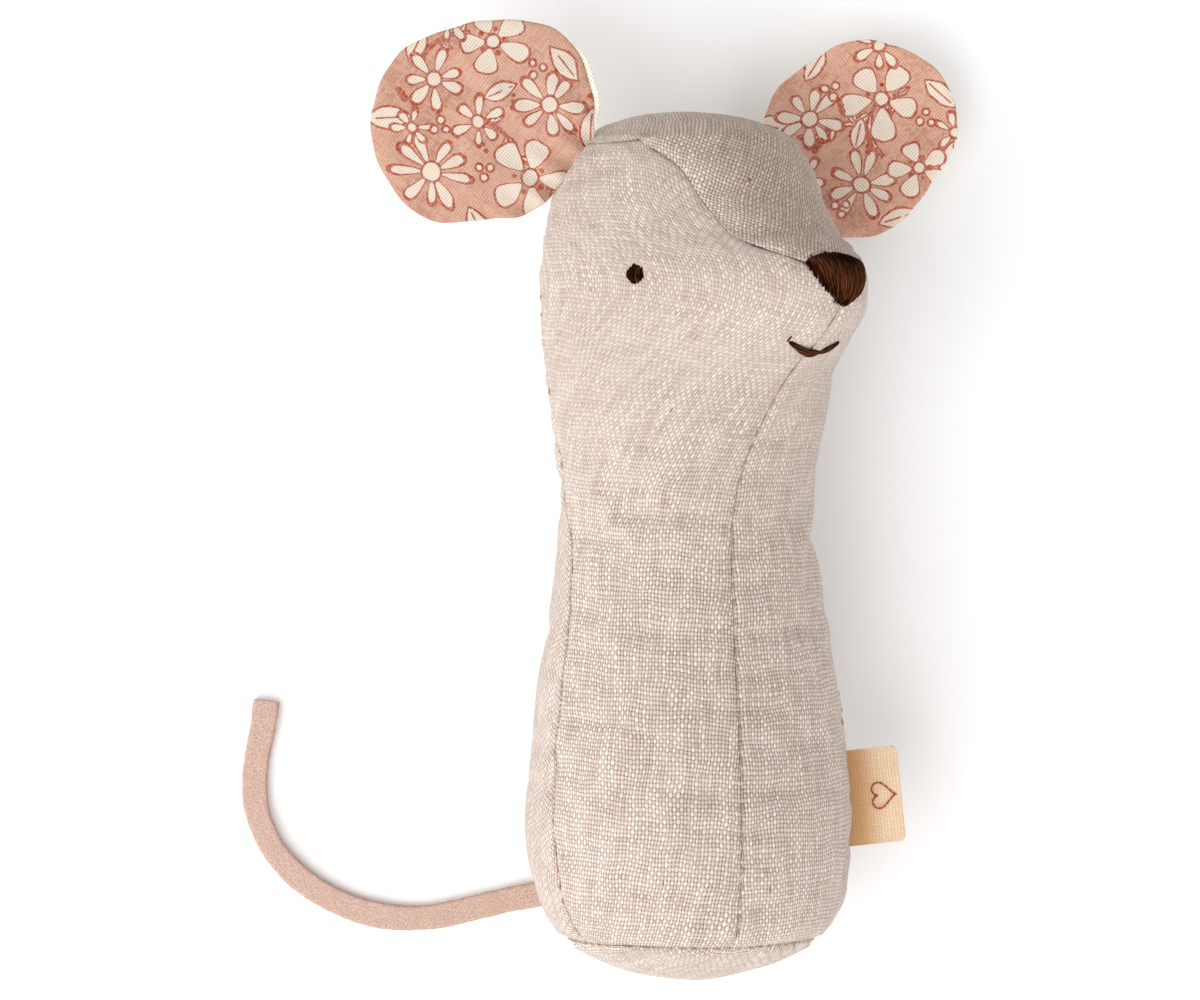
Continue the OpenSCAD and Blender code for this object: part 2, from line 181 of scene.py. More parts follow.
def slab_faces(rows, cols, flip=False):
    """Quads of a closed slab: an outer grid, an inner grid of the same size, and the four rims."""
    n = rows * cols
    at = np.arange(n).reshape(rows, cols)
    faces = [grid_faces(rows, cols, flip=flip), grid_faces(rows, cols, n, flip=not flip)]
    for line, turned in ((at[0], True), (at[-1], False), (at[:, 0], False), (at[:, -1], True)):
        rim = np.stack([line[:-1], line[1:], line[1:] + n, line[:-1] + n], -1)
        faces.append(rim[:, ::-1] if turned == flip else rim)
    return np.concatenate(faces)


def tube_faces(rows, cols, start=0, flip=False):
    """Faces of a closed tube of rings, with one face over each end."""
    first = list(range(start, start + cols))[::-1]
    last = list(range(start + (rows - 1) * cols, start + rows * cols))
    ends = [first[::-1], last[::-1]] if flip else [first, last]
    return grid_faces(rows, cols, start, wrap=True, flip=flip).tolist() + ends


THREAD_SIDES = 8


def thread_object(name, paths, radii, taper=0.15):
    """Many threads of the same number of points. "fabric" holds [distance along, share around, thread]."""
    paths = np.asarray(paths, float)
    count, m = paths.shape[:2]
    radii = np.broadcast_to(np.asarray(radii, float), (count, m)).copy()
    radii[:, [0, -1]] *= taper
    tangent = unit(np.gradient(paths, axis=1))
    up = np.tile(np.array([0.13, 0.21, 0.97]), (count, m, 1))
    up[np.abs((up * tangent).sum(-1)) > 0.9] = (0.97, 0.13, 0.21)
    side = unit(np.cross(tangent, up))
    other = np.cross(tangent, side)
    turn = np.arange(THREAD_SIDES) * 2 * math.pi / THREAD_SIDES
    ring = side[:, :, None] * np.cos(turn)[:, None] + other[:, :, None] * np.sin(turn)[:, None]
    points = paths[:, :, None] + ring * radii[:, :, None, None]
    length = np.broadcast_to(run_length(paths, 1)[:, :, None], points.shape[:3])
    around = np.broadcast_to(turn / (2 * math.pi), points.shape[:3])
    owner = np.broadcast_to(np.arange(count)[:, None, None], points.shape[:3])
    faces = []
    for k in range(count):
        faces += tube_faces(m, THREAD_SIDES, k * m * THREAD_SIDES)
    fabric = np.stack([length, around, owner], -1).reshape(-1, 3)
    return mesh_object(name, points.reshape(-1, 3), faces, {"fabric": fabric})


# ---------------------------------------------------------------- the body's surface, as in the CAD

BODY_LENGTH = 136
BELLY_R = 25.5
SNOUT_REACH = 17
BASE_BULGE = 6
CROWN_RISE = 5
BELLY_Y = 28
ORIGIN_Y = 74.9
BODY_TURN, HEAD_TURN = 19, 37
AXIS_X, AXIS_Z = 2.9, 24.5
AXIS_LEAN, AXIS_DROP = 0.012, 0.029
# Share of the length, half width, depth behind, depth in front, and the snout's share
SECTIONS = np.array([
    [0.044, 0.770, 0.770, 0.770, 0.00], [0.068, 0.870, 0.870, 0.860, 0.00],
    [0.100, 0.940, 0.935, 0.910, 0.00], [0.140, 0.985, 0.980, 0.950, 0.00],
    [0.205, 1.000, 0.990, 0.960, 0.00], [0.310, 0.950, 0.950, 0.925, 0.00],
    [0.410, 0.865, 0.875, 0.865, 0.00], [0.510, 0.785, 0.810, 0.835, 0.00],
    [0.590, 0.780, 0.800, 0.885, 0.00], [0.650, 0.825, 0.830, 0.950, 0.04],
    [0.695, 0.855, 0.860, 0.935, 0.27], [0.735, 0.875, 0.880, 0.920, 0.68],
    [0.768, 0.886, 0.888, 0.912, 0.96], [0.798, 0.886, 0.892, 0.915, 1.00],
    [0.826, 0.874, 0.882, 0.920, 0.84], [0.858, 0.850, 0.862, 0.930, 0.44],
    [0.894, 0.800, 0.820, 0.940, 0.13], [0.930, 0.730, 0.755, 0.915, 0.02],
    [0.963, 0.640, 0.670, 0.820, 0.00],
])
# Share of the length, and the seam's angle from the front
SIDE_SEAM = np.array([
    [0.044, 75], [0.35, 75], [0.45, 78], [0.51, 84], [0.57, 98], [0.68, 118],
    [0.79, 127], [0.88, 126], [0.93, 116], [0.963, 104],
])
FOREHEAD_SEAM = np.array([[0.795, 1], [0.818, 15], [0.84, 27], [0.88, 34], [0.93, 46], [0.963, 66]])
SEAM_Y = SECTIONS[0, 0] * BODY_LENGTH
CROWN_Y = SECTIONS[-1, 0] * BODY_LENGTH
TIP_Y = FOREHEAD_SEAM[0, 0] * BODY_LENGTH


def section_point(a, y):
    """[towards the mouse's left, towards its front] at angle a in degrees from the front."""
    s, r = np.asarray(y) / BODY_LENGTH, np.radians(a)
    c = np.cos(r)
    front = BELLY_R * along(SECTIONS, s, 3) * c + SNOUT_REACH * along(SECTIONS, s, 4) * np.maximum(c, 0) ** 3
    left = BELLY_R * along(SECTIONS, s, 1) * np.sin(r)
    return np.stack([left, np.where(c < 0, BELLY_R * along(SECTIONS, s, 2) * c, front)], -1)


def axis_point(y):
    """[x, z] of the body's axis in its resting place, at a distance along the body."""
    return AXIS_X - (y - BODY_LENGTH / 2) * AXIS_LEAN, AXIS_Z - (y - BELLY_Y) * AXIS_DROP


def placed(q, y, k, lowest=0.0):
    """A section's point q drawn in by the factor k, in its resting place."""
    left, y, front = q[..., 0] * k, np.broadcast_to(y, q.shape[:-1]), q[..., 1] * k
    t = np.radians(BODY_TURN + (HEAD_TURN - BODY_TURN) * smoothstep((y / BODY_LENGTH - 0.52) / 0.22))
    x, z = axis_point(y)
    x = x + front * np.sin(t) + left * np.cos(t)
    z = z + front * np.cos(t) - left * np.sin(t)
    return np.stack([x, y - ORIGIN_Y, np.maximum(lowest, z)], -1)


def skin(a, y, inset=0.0):
    q = section_point(a, y)
    return placed(q, y, 1 - inset / np.linalg.norm(q, axis=-1), inset)


def crown(q, inset=0.0):
    top = SECTIONS[-1]
    angle = np.degrees(np.arctan2(q[..., 0] / top[1], q[..., 1] / np.where(q[..., 1] < 0, top[2], top[3])))
    edge = np.linalg.norm(section_point(angle, CROWN_Y), axis=-1)
    share = np.minimum(1, np.linalg.norm(q, axis=-1) / edge)
    return placed(q, CROWN_Y + (CROWN_RISE - inset) * (1 - share**2) ** 0.75, 1 - inset / edge, inset)


def base_skin(a, r, inset=0.0):
    q = section_point(a, SEAM_Y) * np.asarray(r)[..., None]
    y = SEAM_Y - (BASE_BULGE - inset) * (1 - np.asarray(r) ** 2)
    return placed(q, y, 1 - inset / (BELLY_R * SECTIONS[0, 1]), inset)


def side_edge(y):
    """Angle of the side seams, with the small waves that sewing leaves in them."""
    y = np.asarray(y, float)
    wave = 0.5 * np.sin(y / 1.9 + 0.6) + 0.5 * np.sin(y / 1.1 + 2) * np.sin(y / 7.1)
    fade = smoothstep((y - SEAM_Y) / 8) * smoothstep((105 - y) / 20)
    return along(SIDE_SEAM, y / BODY_LENGTH, 1) + wave * fade


def front_edge(y):
    """Angle of the forehead seam, and of the front seam below the nose's tip."""
    return np.where(y < TIP_Y, 0, along(FOREHEAD_SEAM, np.asarray(y) / BODY_LENGTH, 1))


# ---------------------------------------------------------------- tail, the free strip

TAIL_W, TAIL_T, TAIL_LENGTH = 4.0, 1.8, 89.4
TAIL_ROUTE = np.array([
    [-3.6, -61.7, 2.7], [-7.5, -61.9, 1.6], [-10.5, -62.1, 1.45], [-14, -62.5, 1.15], [-17.5, -63.1, 0.95],
    [-21, -63.7, 0.92], [-26.9, -64.9, 0.92], [-32.3, -66.2, 0.92], [-37.4, -67.3, 0.92],
    [-42, -67.6, 0.92], [-46.5, -67.2, 0.92], [-50.7, -66.1, 0.92], [-54.5, -64.5, 0.92],
    [-58, -62.4, 0.92], [-61.3, -59.6, 0.92], [-64, -56.3, 0.92], [-65.8, -52.6, 0.92],
    [-66.8, -48.7, 0.92], [-66.9, -44.9, 0.92], [-66.5, -41.2, 0.92], [-65.7, -37.4, 0.92],
    [-65, -32.4, 0.92],
])


def spline(points, count):
    """`count` points evenly along a smooth curve through points."""
    table = np.column_stack([np.arange(len(points)), points])
    fine = np.linspace(0, len(points) - 1, 40 * len(points))
    curve = np.stack([along(table, fine, k) for k in (1, 2, 3)], -1)
    length = run_length(curve, 0)
    want = np.linspace(0, length[-1], count)
    return np.stack([np.interp(want, length, curve[:, k]) for k in range(3)], -1)


def tail_profile():
    """The strip's section: a rectangle with round corners, and points all round it."""
    corner, step = 0.45, 0.28
    outline = [
        (
            cx * (TAIL_W / 2 - corner) + corner * math.cos(a),
            cy * (TAIL_T / 2 - corner) + corner * math.sin(a),
        )
        for cx, cy, first in ((1, 1, 0), (-1, 1, 90), (-1, -1, 180), (1, -1, 270))
        for a in np.radians(np.linspace(first, first + 90, 5))
    ]
    dense = []
    for here, there in zip(np.array(outline), np.roll(outline, -1, axis=0)):
        parts = max(1, round(math.dist(here, there) / step))
        dense += [here + (there - here) * t for t in np.arange(0, 1, 1 / parts)]
    return np.array(dense)


def make_tail():
    path, profile = spline(TAIL_ROUTE, 300), tail_profile()
    tangent = unit(np.gradient(path, axis=0))
    side = unit(np.stack([-tangent[:, 1], tangent[:, 0], 0 * tangent[:, 0]], -1))
    up = np.cross(tangent, side)
    length = run_length(path, 0)
    width = 1 + 0.02 * np.sin(length / 6.1) + 0.015 * np.sin(length / 2.3 + 1)
    sideways, upward = side[:, None] * profile[:, :1], up[:, None] * profile[:, 1:]
    points = path[:, None] + sideways * width[:, None, None] + upward
    nap = 0.07 * noise(points, 0.55) + 0.05 * noise(points, 1.6, 1)
    points = above(points + (sideways / 2 + upward) * nap[..., None], 0.03)
    # Both cut ends are closed with rings that shrink to a point
    shrink = np.array([0.02, 0.35, 0.7, 0.94])[:, None, None]
    start, end = (ring.mean(0) + (ring - ring.mean(0)) * shrink for ring in (points[0], points[-1]))
    points = np.concatenate([start, points, end[::-1]])
    fabric = np.zeros(points.shape)
    fabric[..., 0] = np.pad(length, len(shrink), mode="edge")[:, None]
    fabric[..., 1:] = profile
    cut = np.zeros(points.shape[:2])
    cut[: len(shrink)] = cut[-len(shrink) :] = 1
    faces = tube_faces(*points.shape[:2], flip=True)
    return mesh_object("suede_tail", stacked(points), faces, {"fabric": stacked(fabric), "cut": stacked(cut)})


tail = make_tail()
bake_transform(tail)
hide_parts("tail")
spline(TAIL_ROUTE, 40) * MM

# ---------------------------------------------------------------- materials


def linear(colour):
    """Scene-linear colour from 0-255 sRGB values."""
    c = np.array(colour, float) / 255
    return tuple(np.where(c <= 0.04045, c / 12.92, ((c + 0.055) / 1.055) ** 2.4).tolist()) + (1.0,)


class Value:
    """A node's output that takes part in arithmetic, each step of which adds a math node."""

    def __init__(self, nodes, socket):
        self.nodes, self.socket = nodes, socket

    def __add__(self, other):
        return self.nodes.math("ADD", self, other)

    def __sub__(self, other):
        return self.nodes.math("SUBTRACT", self, other)

    def __rsub__(self, other):
        return self.nodes.math("SUBTRACT", other, self)

    def __mul__(self, other):
        return self.nodes.math("MULTIPLY", self, other)

    def __truediv__(self, other):
        return self.nodes.math("DIVIDE", self, other)


class Nodes:
    """A short way to write a material's node tree. Lengths are in millimetres."""

    def __init__(self, name, roughness, sheen=0.0, specular=0.25):
        self.material = bpy.data.materials.new(name)
        self.material.use_nodes = True
        self.tree = self.material.node_tree
        self.shader = self.tree.nodes["Principled BSDF"]
        self.shader.inputs["Roughness"].default_value = roughness
        self.shader.inputs["Specular IOR Level"].default_value = specular
        self.shader.inputs["Sheen Weight"].default_value = sheen

    def put(self, socket, value):
        """Links or sets a socket. A tuple is a colour in 0-255 sRGB values, a list one in linear values."""
        if isinstance(value, Value):
            self.tree.links.new(value.socket, socket)
        else:
            socket.default_value = linear(value) if isinstance(value, tuple) else value

    def node(self, kind, inputs=None, output=0, **settings):
        n = self.tree.nodes.new(kind)
        for key, value in settings.items():
            setattr(n, key, value)
        for key, value in (inputs or {}).items():
            self.put(n.inputs[key], value)
        return Value(self, n.outputs[output])

    def math(self, operation, *values):
        return self.node("ShaderNodeMath", dict(enumerate(values)), operation=operation)

    def attribute(self, name, output="Vector"):
        return self.node("ShaderNodeAttribute", output=output, attribute_name=name)

    def split(self, vector):
        n = self.tree.nodes.new("ShaderNodeSeparateXYZ")
        self.put(n.inputs[0], vector)
        return [Value(self, socket) for socket in n.outputs]

    def join(self, x, y, z):
        return self.node("ShaderNodeCombineXYZ", {"X": x, "Y": y, "Z": z})

    def noise(self, vector, scale, detail=2.0, output="Fac"):
        return self.node("ShaderNodeTexNoise", {"Vector": vector, "Scale": scale, "Detail": detail}, output)

    def range(self, value, low, high, out_low=0.0, out_high=1.0):
        ends = {"From Min": low, "From Max": high, "To Min": out_low, "To Max": out_high}
        return self.node("ShaderNodeMapRange", {"Value": value, **ends}, interpolation_type="SMOOTHSTEP")

    def mix(self, factor, a, b, blend="MIX"):
        return self.node("ShaderNodeMix", {0: factor, 6: a, 7: b}, 2, data_type="RGBA", blend_type=blend)

    def finish(self, colour, height, depth, strength=1.0, roughness=None):
        self.put(self.shader.inputs["Base Color"], colour)
        bump = {"Height": height, "Distance": depth * MM, "Strength": strength}
        self.put(self.shader.inputs["Normal"], self.node("ShaderNodeBump", bump))
        if roughness is not None:
            self.put(self.shader.inputs["Roughness"], roughness)
        return self.material


def weave(n, pitch_u, pitch_v, wobble, slub, weft_height=0.9):
    """A plain weave on the fabric coordinates. Returns its height, where the warp is on top, the tint and
    the fleck of the thread on top, and the coordinates."""
    x, y, z = n.split(n.attribute("fabric"))
    wander_x, wander_y, _ = n.split(n.noise(n.join(x, y, z), 0.16, 1.0, "Color"))
    u = (x + (wander_x - 0.5) * wobble) / pitch_u
    v = (y + (wander_y - 0.5) * wobble) / pitch_v
    column, row = n.math("FLOOR", u), n.math("FLOOR", v)
    warp_size, warp_tint, warp_fleck = n.split(n.noise(n.join(column * 7.31, v * 0.11, z), 1.0, 2.0, "Color"))
    weft_size, weft_tint, weft_fleck = n.split(n.noise(n.join(u * 0.11, row * 5.77, z), 1.0, 2.0, "Color"))

    def thread(across, run, crossing, size, over):
        """Height of a thread: round across, rising over one crossing thread and dipping under the next."""
        wide = (size - 0.5) * slub + 1.0
        a = across * 1.95 / wide
        arch = n.math("SQRT", n.math("MAXIMUM", 1.0 - a * a, 0.0))
        turn = (run - 0.5 + crossing) * math.pi
        return arch * (n.math("COSINE", turn) * (0.36 * over) + 0.64) * wide

    warp = thread(u - column - 0.5, v, column, warp_size, 1)
    weft = thread(v - row - 0.5, u, row, weft_size, -1) * weft_height
    top = n.math("GREATER_THAN", warp, weft)
    tint = weft_tint + (warp_tint - weft_tint) * top
    fleck = weft_fleck + (warp_fleck - weft_fleck) * top
    return n.math("MAXIMUM", warp, weft), top, tint, fleck, (x, y, z)


def linen_material():
    """Oatmeal linen. Where the attribute "shade" rises, the colour is darkened: painted shade, added to the
    darker look of cloth that lies on another grain.
    """
    n = Nodes("linen_oatmeal", roughness=0.9, sheen=0.13)
    height, top, tint, fleck, (x, y, z) = weave(n, 0.53, 0.66, 1.3, 0.5, 0.88)
    threads = n.mix(n.range(tint, 0.32, 0.72), (237, 225, 217), (203, 185, 173))
    patch = n.noise(n.join(x, y, z), 0.035, 3.0)
    threads = n.mix(n.range(patch, 0.42, 0.62, 0.0, 0.2), threads, (210, 194, 182))
    threads = n.mix((1.0 - top) * 0.5, threads, (192, 170, 154))
    threads = n.mix(n.range(fleck, 0.66, 0.74, 0.0, 0.5), threads, (180, 142, 108))
    # Where the cloth is pulled tight, the attribute "relief" falls and the gaps between threads close
    relief = n.attribute("relief", "Fac")
    mean = 0.67  # keeps the brightness while the contrast falls
    open_share = (n.range(height, 0.18, 0.82) - mean) * relief + mean
    # Painted shade between the threads: where the weave lies low, the colour goes to dark brown
    colour = n.mix(open_share, (92, 66, 48), threads)
    # Rare short brown specks of husk
    husk = n.noise(n.join(x * 0.8, y * 0.45, z), 1.0, 1.0)
    colour = n.mix(n.range(husk, 0.79, 0.83, 0.0, 0.85), colour, (140, 92, 54))
    # Painted shade: the colour is darkened where "shade" rises, on the forehead
    colour = n.mix(n.attribute("shade", "Fac"), colour, [0.8, 0.74, 0.7, 1.0], "MULTIPLY")
    return n.finish(colour, height * relief, 0.26, 0.9)


PINK, CREAM, RUST, DEEP = (214, 163, 139), (234, 217, 200), (172, 58, 14), (190, 132, 106)


def cotton_material(name, pitch, ground=None, tone=1.0):
    """Fine plain-woven cotton, either of one colour or printed with the pattern in "print". The weave gets
    painted shade in its hollows and a painted highlight on its tops, and tone below 1 paints shade over the
    whole cloth.
    """
    n = Nodes(name, roughness=0.9, sheen=0.02, specular=0.1)
    height, _, tint, _, (x, y, z) = weave(n, pitch, pitch, 0.5, 0.4)
    base = ground
    if not ground:
        pale, line, shade = n.split(n.attribute("print"))
        grain = n.noise(n.join(x, y, z), 2.2, 2.0)
        base = n.mix(n.range(shade, 0.0, 1.0), PINK, DEEP)
        base = n.mix(n.range(pale, 0.05, -0.05), base, CREAM)
        ink = n.range(grain * 0.09 + line, 0.28, 0.2)
        base = n.mix(ink * n.range(grain, 0.3, 0.6, 0.7, 1.0), base, RUST)
    colour = n.mix(n.range(tint, 0.3, 0.7, 0.0, 0.2), base, (240, 226, 214))
    # Painted shade in the weave's hollows and a painted highlight on the threads' tops, times tone, the
    # painted shade of the whole cloth
    painted_weave_shading = n.range(height, 0.1, 0.75, 0.4, 1.12) * tone
    return n.finish(n.mix(1.0, colour, n.join(painted_weave_shading, painted_weave_shading, painted_weave_shading), "MULTIPLY"), height, 0.12, 0.8)


def thread_material(name, dark, light, twist, low=0.45, hair_rate=3.0, **surface):
    """Thread of two twisted strands, of which one turn takes `twist` millimetres."""
    n = Nodes(name, **{"roughness": 0.62, "sheen": 0.04, **surface})
    x, y, z = n.split(n.attribute("fabric"))
    ply = n.math("COSINE", (y * 2.0 + x / twist) * (2 * math.pi)) * 0.5 + 0.5
    own = n.noise(n.join(z * 3.7, x * 0.4, y), 1.0, 2.0)
    hair = n.noise(n.join(x * hair_rate, y * 14.0, z), 1.0, 3.0)
    mixed = hair * 0.55 + own * 0.6 + ply * 0.25
    return n.finish(n.mix(n.range(mixed, low, 0.95), dark, light), hair * 0.4 + ply, 0.08, 0.8)


def suede_material():
    n = Nodes("suede_pink", roughness=0.95, sheen=0.35)
    place, cut = n.attribute("fabric"), n.attribute("cut", "Fac")
    nap, broad = n.noise(place, 3.4, 4.0), n.noise(place, 0.35, 3.0)
    pores = n.node("ShaderNodeTexVoronoi", {"Vector": place, "Scale": 2.6}, "Distance")
    colour = n.mix(n.range(nap, 0.35, 0.65), (186, 150, 133), (212, 184, 171))
    colour = n.mix(n.range(broad, 0.4, 0.7, 0.0, 0.4), colour, (196, 162, 144))
    colour = n.mix(n.range(pores, 0.0, 0.16, 0.6, 0.0), colour, (158, 118, 100))
    rim = n.range(n.math("ABSOLUTE", n.split(place)[1]), 1.72, 1.95, 0.0, 0.5)
    colour = n.mix(n.math("MAXIMUM", rim, cut * 0.65), colour, (164, 118, 98))
    return n.finish(colour, pores * 0.6 + nap, 0.16, 0.9)


def tape_material():
    """Ribbed tape, with painted shade near the seam that holds it and between its threads. "fabric" holds
    [out from the seam, along the seam, 0].
    """
    n = Nodes("woven_tape", roughness=0.75, sheen=0.15)
    height, _, tint, _, (x, _, _) = weave(n, 0.5, 0.36, 0.1, 0.15, 0.8)
    rib = n.math("COSINE", x * (2 * math.pi / 0.5)) * -0.5 + 0.5
    colour = n.mix(n.range(tint, 0.3, 0.7), (250, 228, 200), (240, 212, 178))
    # Painted shade between the threads, where the weave lies low
    colour = n.mix(n.range(height, 0.15, 0.8), (208, 160, 112), colour)
    colour = n.mix(rib * 0.18, colour, (206, 158, 110))
    # Painted shade near the seam, where the tape goes into it
    colour = n.mix(n.range(x, 0.0, 4.6, 0.8, 0.0), colour, (206, 150, 94))
    return n.finish(colour, height, 0.16, 0.9)


def object_material(name, base, other, scale, depth, roughness, sheen=0.0, detail=3.0, speck=None):
    """Grain from the piece's own coordinates, for moulded plastic and loose fill."""
    n = Nodes(name, roughness=roughness, sheen=sheen)
    place = n.node("ShaderNodeTexCoord", output="Object")
    grain, broad = n.noise(place, scale, detail), n.noise(place, scale / 9, 2.0)
    colour = n.mix(n.range(broad, 0.35, 0.65), base, other)
    if speck:
        colour = n.mix(n.range(grain, 0.62, 0.72, 0.0, 0.5), colour, speck)
    rough = n.range(grain, 0.3, 0.7, roughness - 0.08, min(1.0, roughness + 0.08))
    return n.finish(colour, grain, depth, 0.6, rough)


LINEN = linen_material()
TAN_THREAD = thread_material("sewing_thread_tan", (168, 132, 100), (216, 188, 156), 0.8)
BROWN_THREAD = thread_material(
    "embroidery_thread_brown", (24, 6, 0), (112, 64, 38), 9.0, 0.64, 0.6,
    roughness=0.9, sheen=0.0, specular=0.04,
)
RED_THREAD = thread_material("mark_thread_red", (150, 52, 44), (206, 100, 84), 1.2)
SUEDE = suede_material()
TAPE = tape_material()
PRINT = {
    "left": cotton_material("printed_cotton", 0.43),
    # The right ear's print gets painted shade: the same cloth, darker all over
    "right": cotton_material("printed_cotton_shaded", 0.43, tone=0.75),
}
LINING = cotton_material("ear_lining_linen", 0.5, (240, 229, 212))
FILL = object_material("fibre_fill", (250, 248, 244), (232, 229, 222), 900, 0.5, 0.95, 0.3, 6.0)
CAPSULE = object_material(
    "capsule_plastic", (238, 241, 243), (228, 233, 236), 1800, 0.04, 0.38, speck=(214, 219, 222)
)
BALL = object_material("ball_plastic", (222, 143, 72), (206, 122, 56), 1500, 0.03, 0.42, speck=(182, 100, 44))


def dress(obj, material):
    obj.data.materials.clear()
    obj.data.materials.append(material)


def settle(obj, material, body, slot, *nodes):
    """Gives a finished piece its material and its body, and hides the CAD parts that it stands for. slot is
    not used.
    """
    dress(obj, material)
    if body:
        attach(obj, body)
    if nodes:
        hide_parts(*nodes)


dress(tail, SUEDE)

# ---------------------------------------------------------------- cloth

CLOTH_SCALE = 10.0  # the cloth is worked ten times larger, where the solver is steadier
CLOTH_FRAMES = 20
CLOTH_REACH = 3.0
CLOTH_SETTINGS = dict(
    quality=6, mass=0.25, tension_stiffness=40, compression_stiffness=40, shear_stiffness=12,
    bending_stiffness=0.6, vertex_group_mass="held", use_pressure=True, uniform_pressure_force=4,
    shrink_min=-0.02,
)


def cloth_offsets(name, points, turned):
    """Inflates a panel that is held at its seams. Returns how far each point moved, up to CLOTH_REACH."""
    rows, cols = points.shape[:2]
    faces = grid_faces(rows, cols, flip=turned < 0)
    obj = mesh_object(name + "_cloth", stacked(points) * CLOTH_SCALE, faces)
    held = np.zeros((rows, cols), bool)
    held[[0, -1]] = True
    held[:, [0, -1]] = True
    obj.vertex_groups.new(name="held").add(np.flatnonzero(held).tolist(), 1.0, "REPLACE")
    settings = obj.modifiers.new("cloth", "CLOTH").settings
    for key, value in CLOTH_SETTINGS.items():
        setattr(settings, key, value)
    settings.effector_weights.gravity = 0
    scene = bpy.context.scene
    for f in range(1, CLOTH_FRAMES + 1):
        scene.frame_set(f)
    result = obj.evaluated_get(bpy.context.evaluated_depsgraph_get()).data
    co = np.zeros(rows * cols * 3, np.float32)
    result.vertices.foreach_get("co", co)
    scene.frame_set(1)
    bpy.data.objects.remove(obj)
    moved = co.reshape(rows, cols, 3) / (MM * CLOTH_SCALE) - points
    size = np.linalg.norm(moved, axis=-1, keepdims=True)
    return moved * np.minimum(1, CLOTH_REACH / np.maximum(size, 1e-9))


def blurred(field, passes):
    for _ in range(passes):
        wide = np.pad(field, ((1, 1), (1, 1), (0, 0)), mode="edge")
        sides = wide[2:, 1:-1] + wide[:-2, 1:-1] + wide[1:-1, 2:] + wide[1:-1, :-2]
        field = (wide[1:-1, 1:-1] * 2 + sides) / 6
    return field


def resized(field, rows, cols):
    """A grid of values on a finer grid."""
    for axis, count in ((0, rows), (1, cols)):
        at = np.linspace(0, field.shape[axis] - 1, count)
        i = np.minimum(at.astype(int), field.shape[axis] - 2)
        t = (at - i).reshape((-1, 1, 1) if axis == 0 else (1, -1, 1))
        field = np.take(field, i, axis) * (1 - t) + np.take(field, i + 1, axis) * t
    return blurred(field, 2)


def wrinkles(name, surface, out, turned):
    """How far the wrinkles of a padded panel stand out, worked on a grid with half its rows and columns."""
    rows, cols = out.shape[:2]
    coarse = surface(max(8, rows // 2), max(8, cols // 2))
    moved = cloth_offsets(name, coarse, turned)
    moved = resized(moved - blurred(moved, 60), rows, cols)
    return np.clip((moved * out).sum(-1), -WRINKLE, WRINKLE)


# ---------------------------------------------------------------- linen cover

CLOTH_T = 0.45
WRINKLE = 0.8
TURN_IN = (0.35, 0.8, 1.3)


def body_middle(points):
    """The point of the body's axis that is level with each point."""
    y = points[..., 1]
    x, z = axis_point(y + ORIGIN_Y)
    return np.stack([x, np.clip(y, -60, 48), z], -1)


def side_threads(side, rows, cols):
    """Distances along the cloth of a side panel: round the body from its front, and up it."""
    angles, levels = np.linspace(0, 130, 66), np.linspace(SEAM_Y, CROWN_Y, 160)
    table = skin(side * angles[None], levels[:, None])
    y = np.linspace(SEAM_Y, CROWN_Y, rows)[:, None] + np.zeros((1, cols))
    a = front_edge(y) + (side_edge(y) - front_edge(y)) * np.linspace(0, 1, cols)[None]
    i, j = (y - SEAM_Y) / (levels[1] - levels[0]), a / (angles[1] - angles[0])
    i0, j0 = np.clip(i.astype(int), 0, len(levels) - 2), np.clip(j.astype(int), 0, len(angles) - 2)
    fi, fj = i - i0, j - j0
    return [
        t[i0, j0] * (1 - fi) * (1 - fj) + t[i0 + 1, j0] * fi * (1 - fj)
        + t[i0, j0 + 1] * (1 - fi) * fj + t[i0 + 1, j0 + 1] * fi * fj
        for t in (run_length(table, 1), run_length(table, 0))
    ]


def with_seam(lift, points, distance, seam):
    """The cloth's lift with a seam at its edge: a groove, the puckers along it and a ridge beside it."""
    depth, pucker, ridge, width = seam
    away = distance + 0.25 * noise(points, 3.0, 2) * width
    lift = lift * (1 - 0.7 * bell(distance / 2.0))
    lift -= depth * np.exp(-(np.abs(away / (1.15 * width)) ** 1.6))
    lift += ridge * bell((away - 1.35) / 0.8)
    ripples = noise(points, 3.6, 1) + 0.5 * noise(points, 2.1)
    return lift + pucker * ripples * np.exp(-((distance / 4.2) ** 1.3)) * (1 - bell(distance / 0.8))


def turned_in(points, out, across, up, axis):
    """The grid with its seam allowances turned in at both ends of an axis."""
    for depth in TURN_IN:
        first, last = (np.take(points, [k], axis) - np.take(out, [k], axis) * depth for k in (0, -1))
        points = np.concatenate([first, points, last], axis)
        out, across, up = (
            np.concatenate([np.take(a, [0], axis), a, np.take(a, [-1], axis)], axis)
            for a in (out, across, up)
        )
    return points, out, across, up


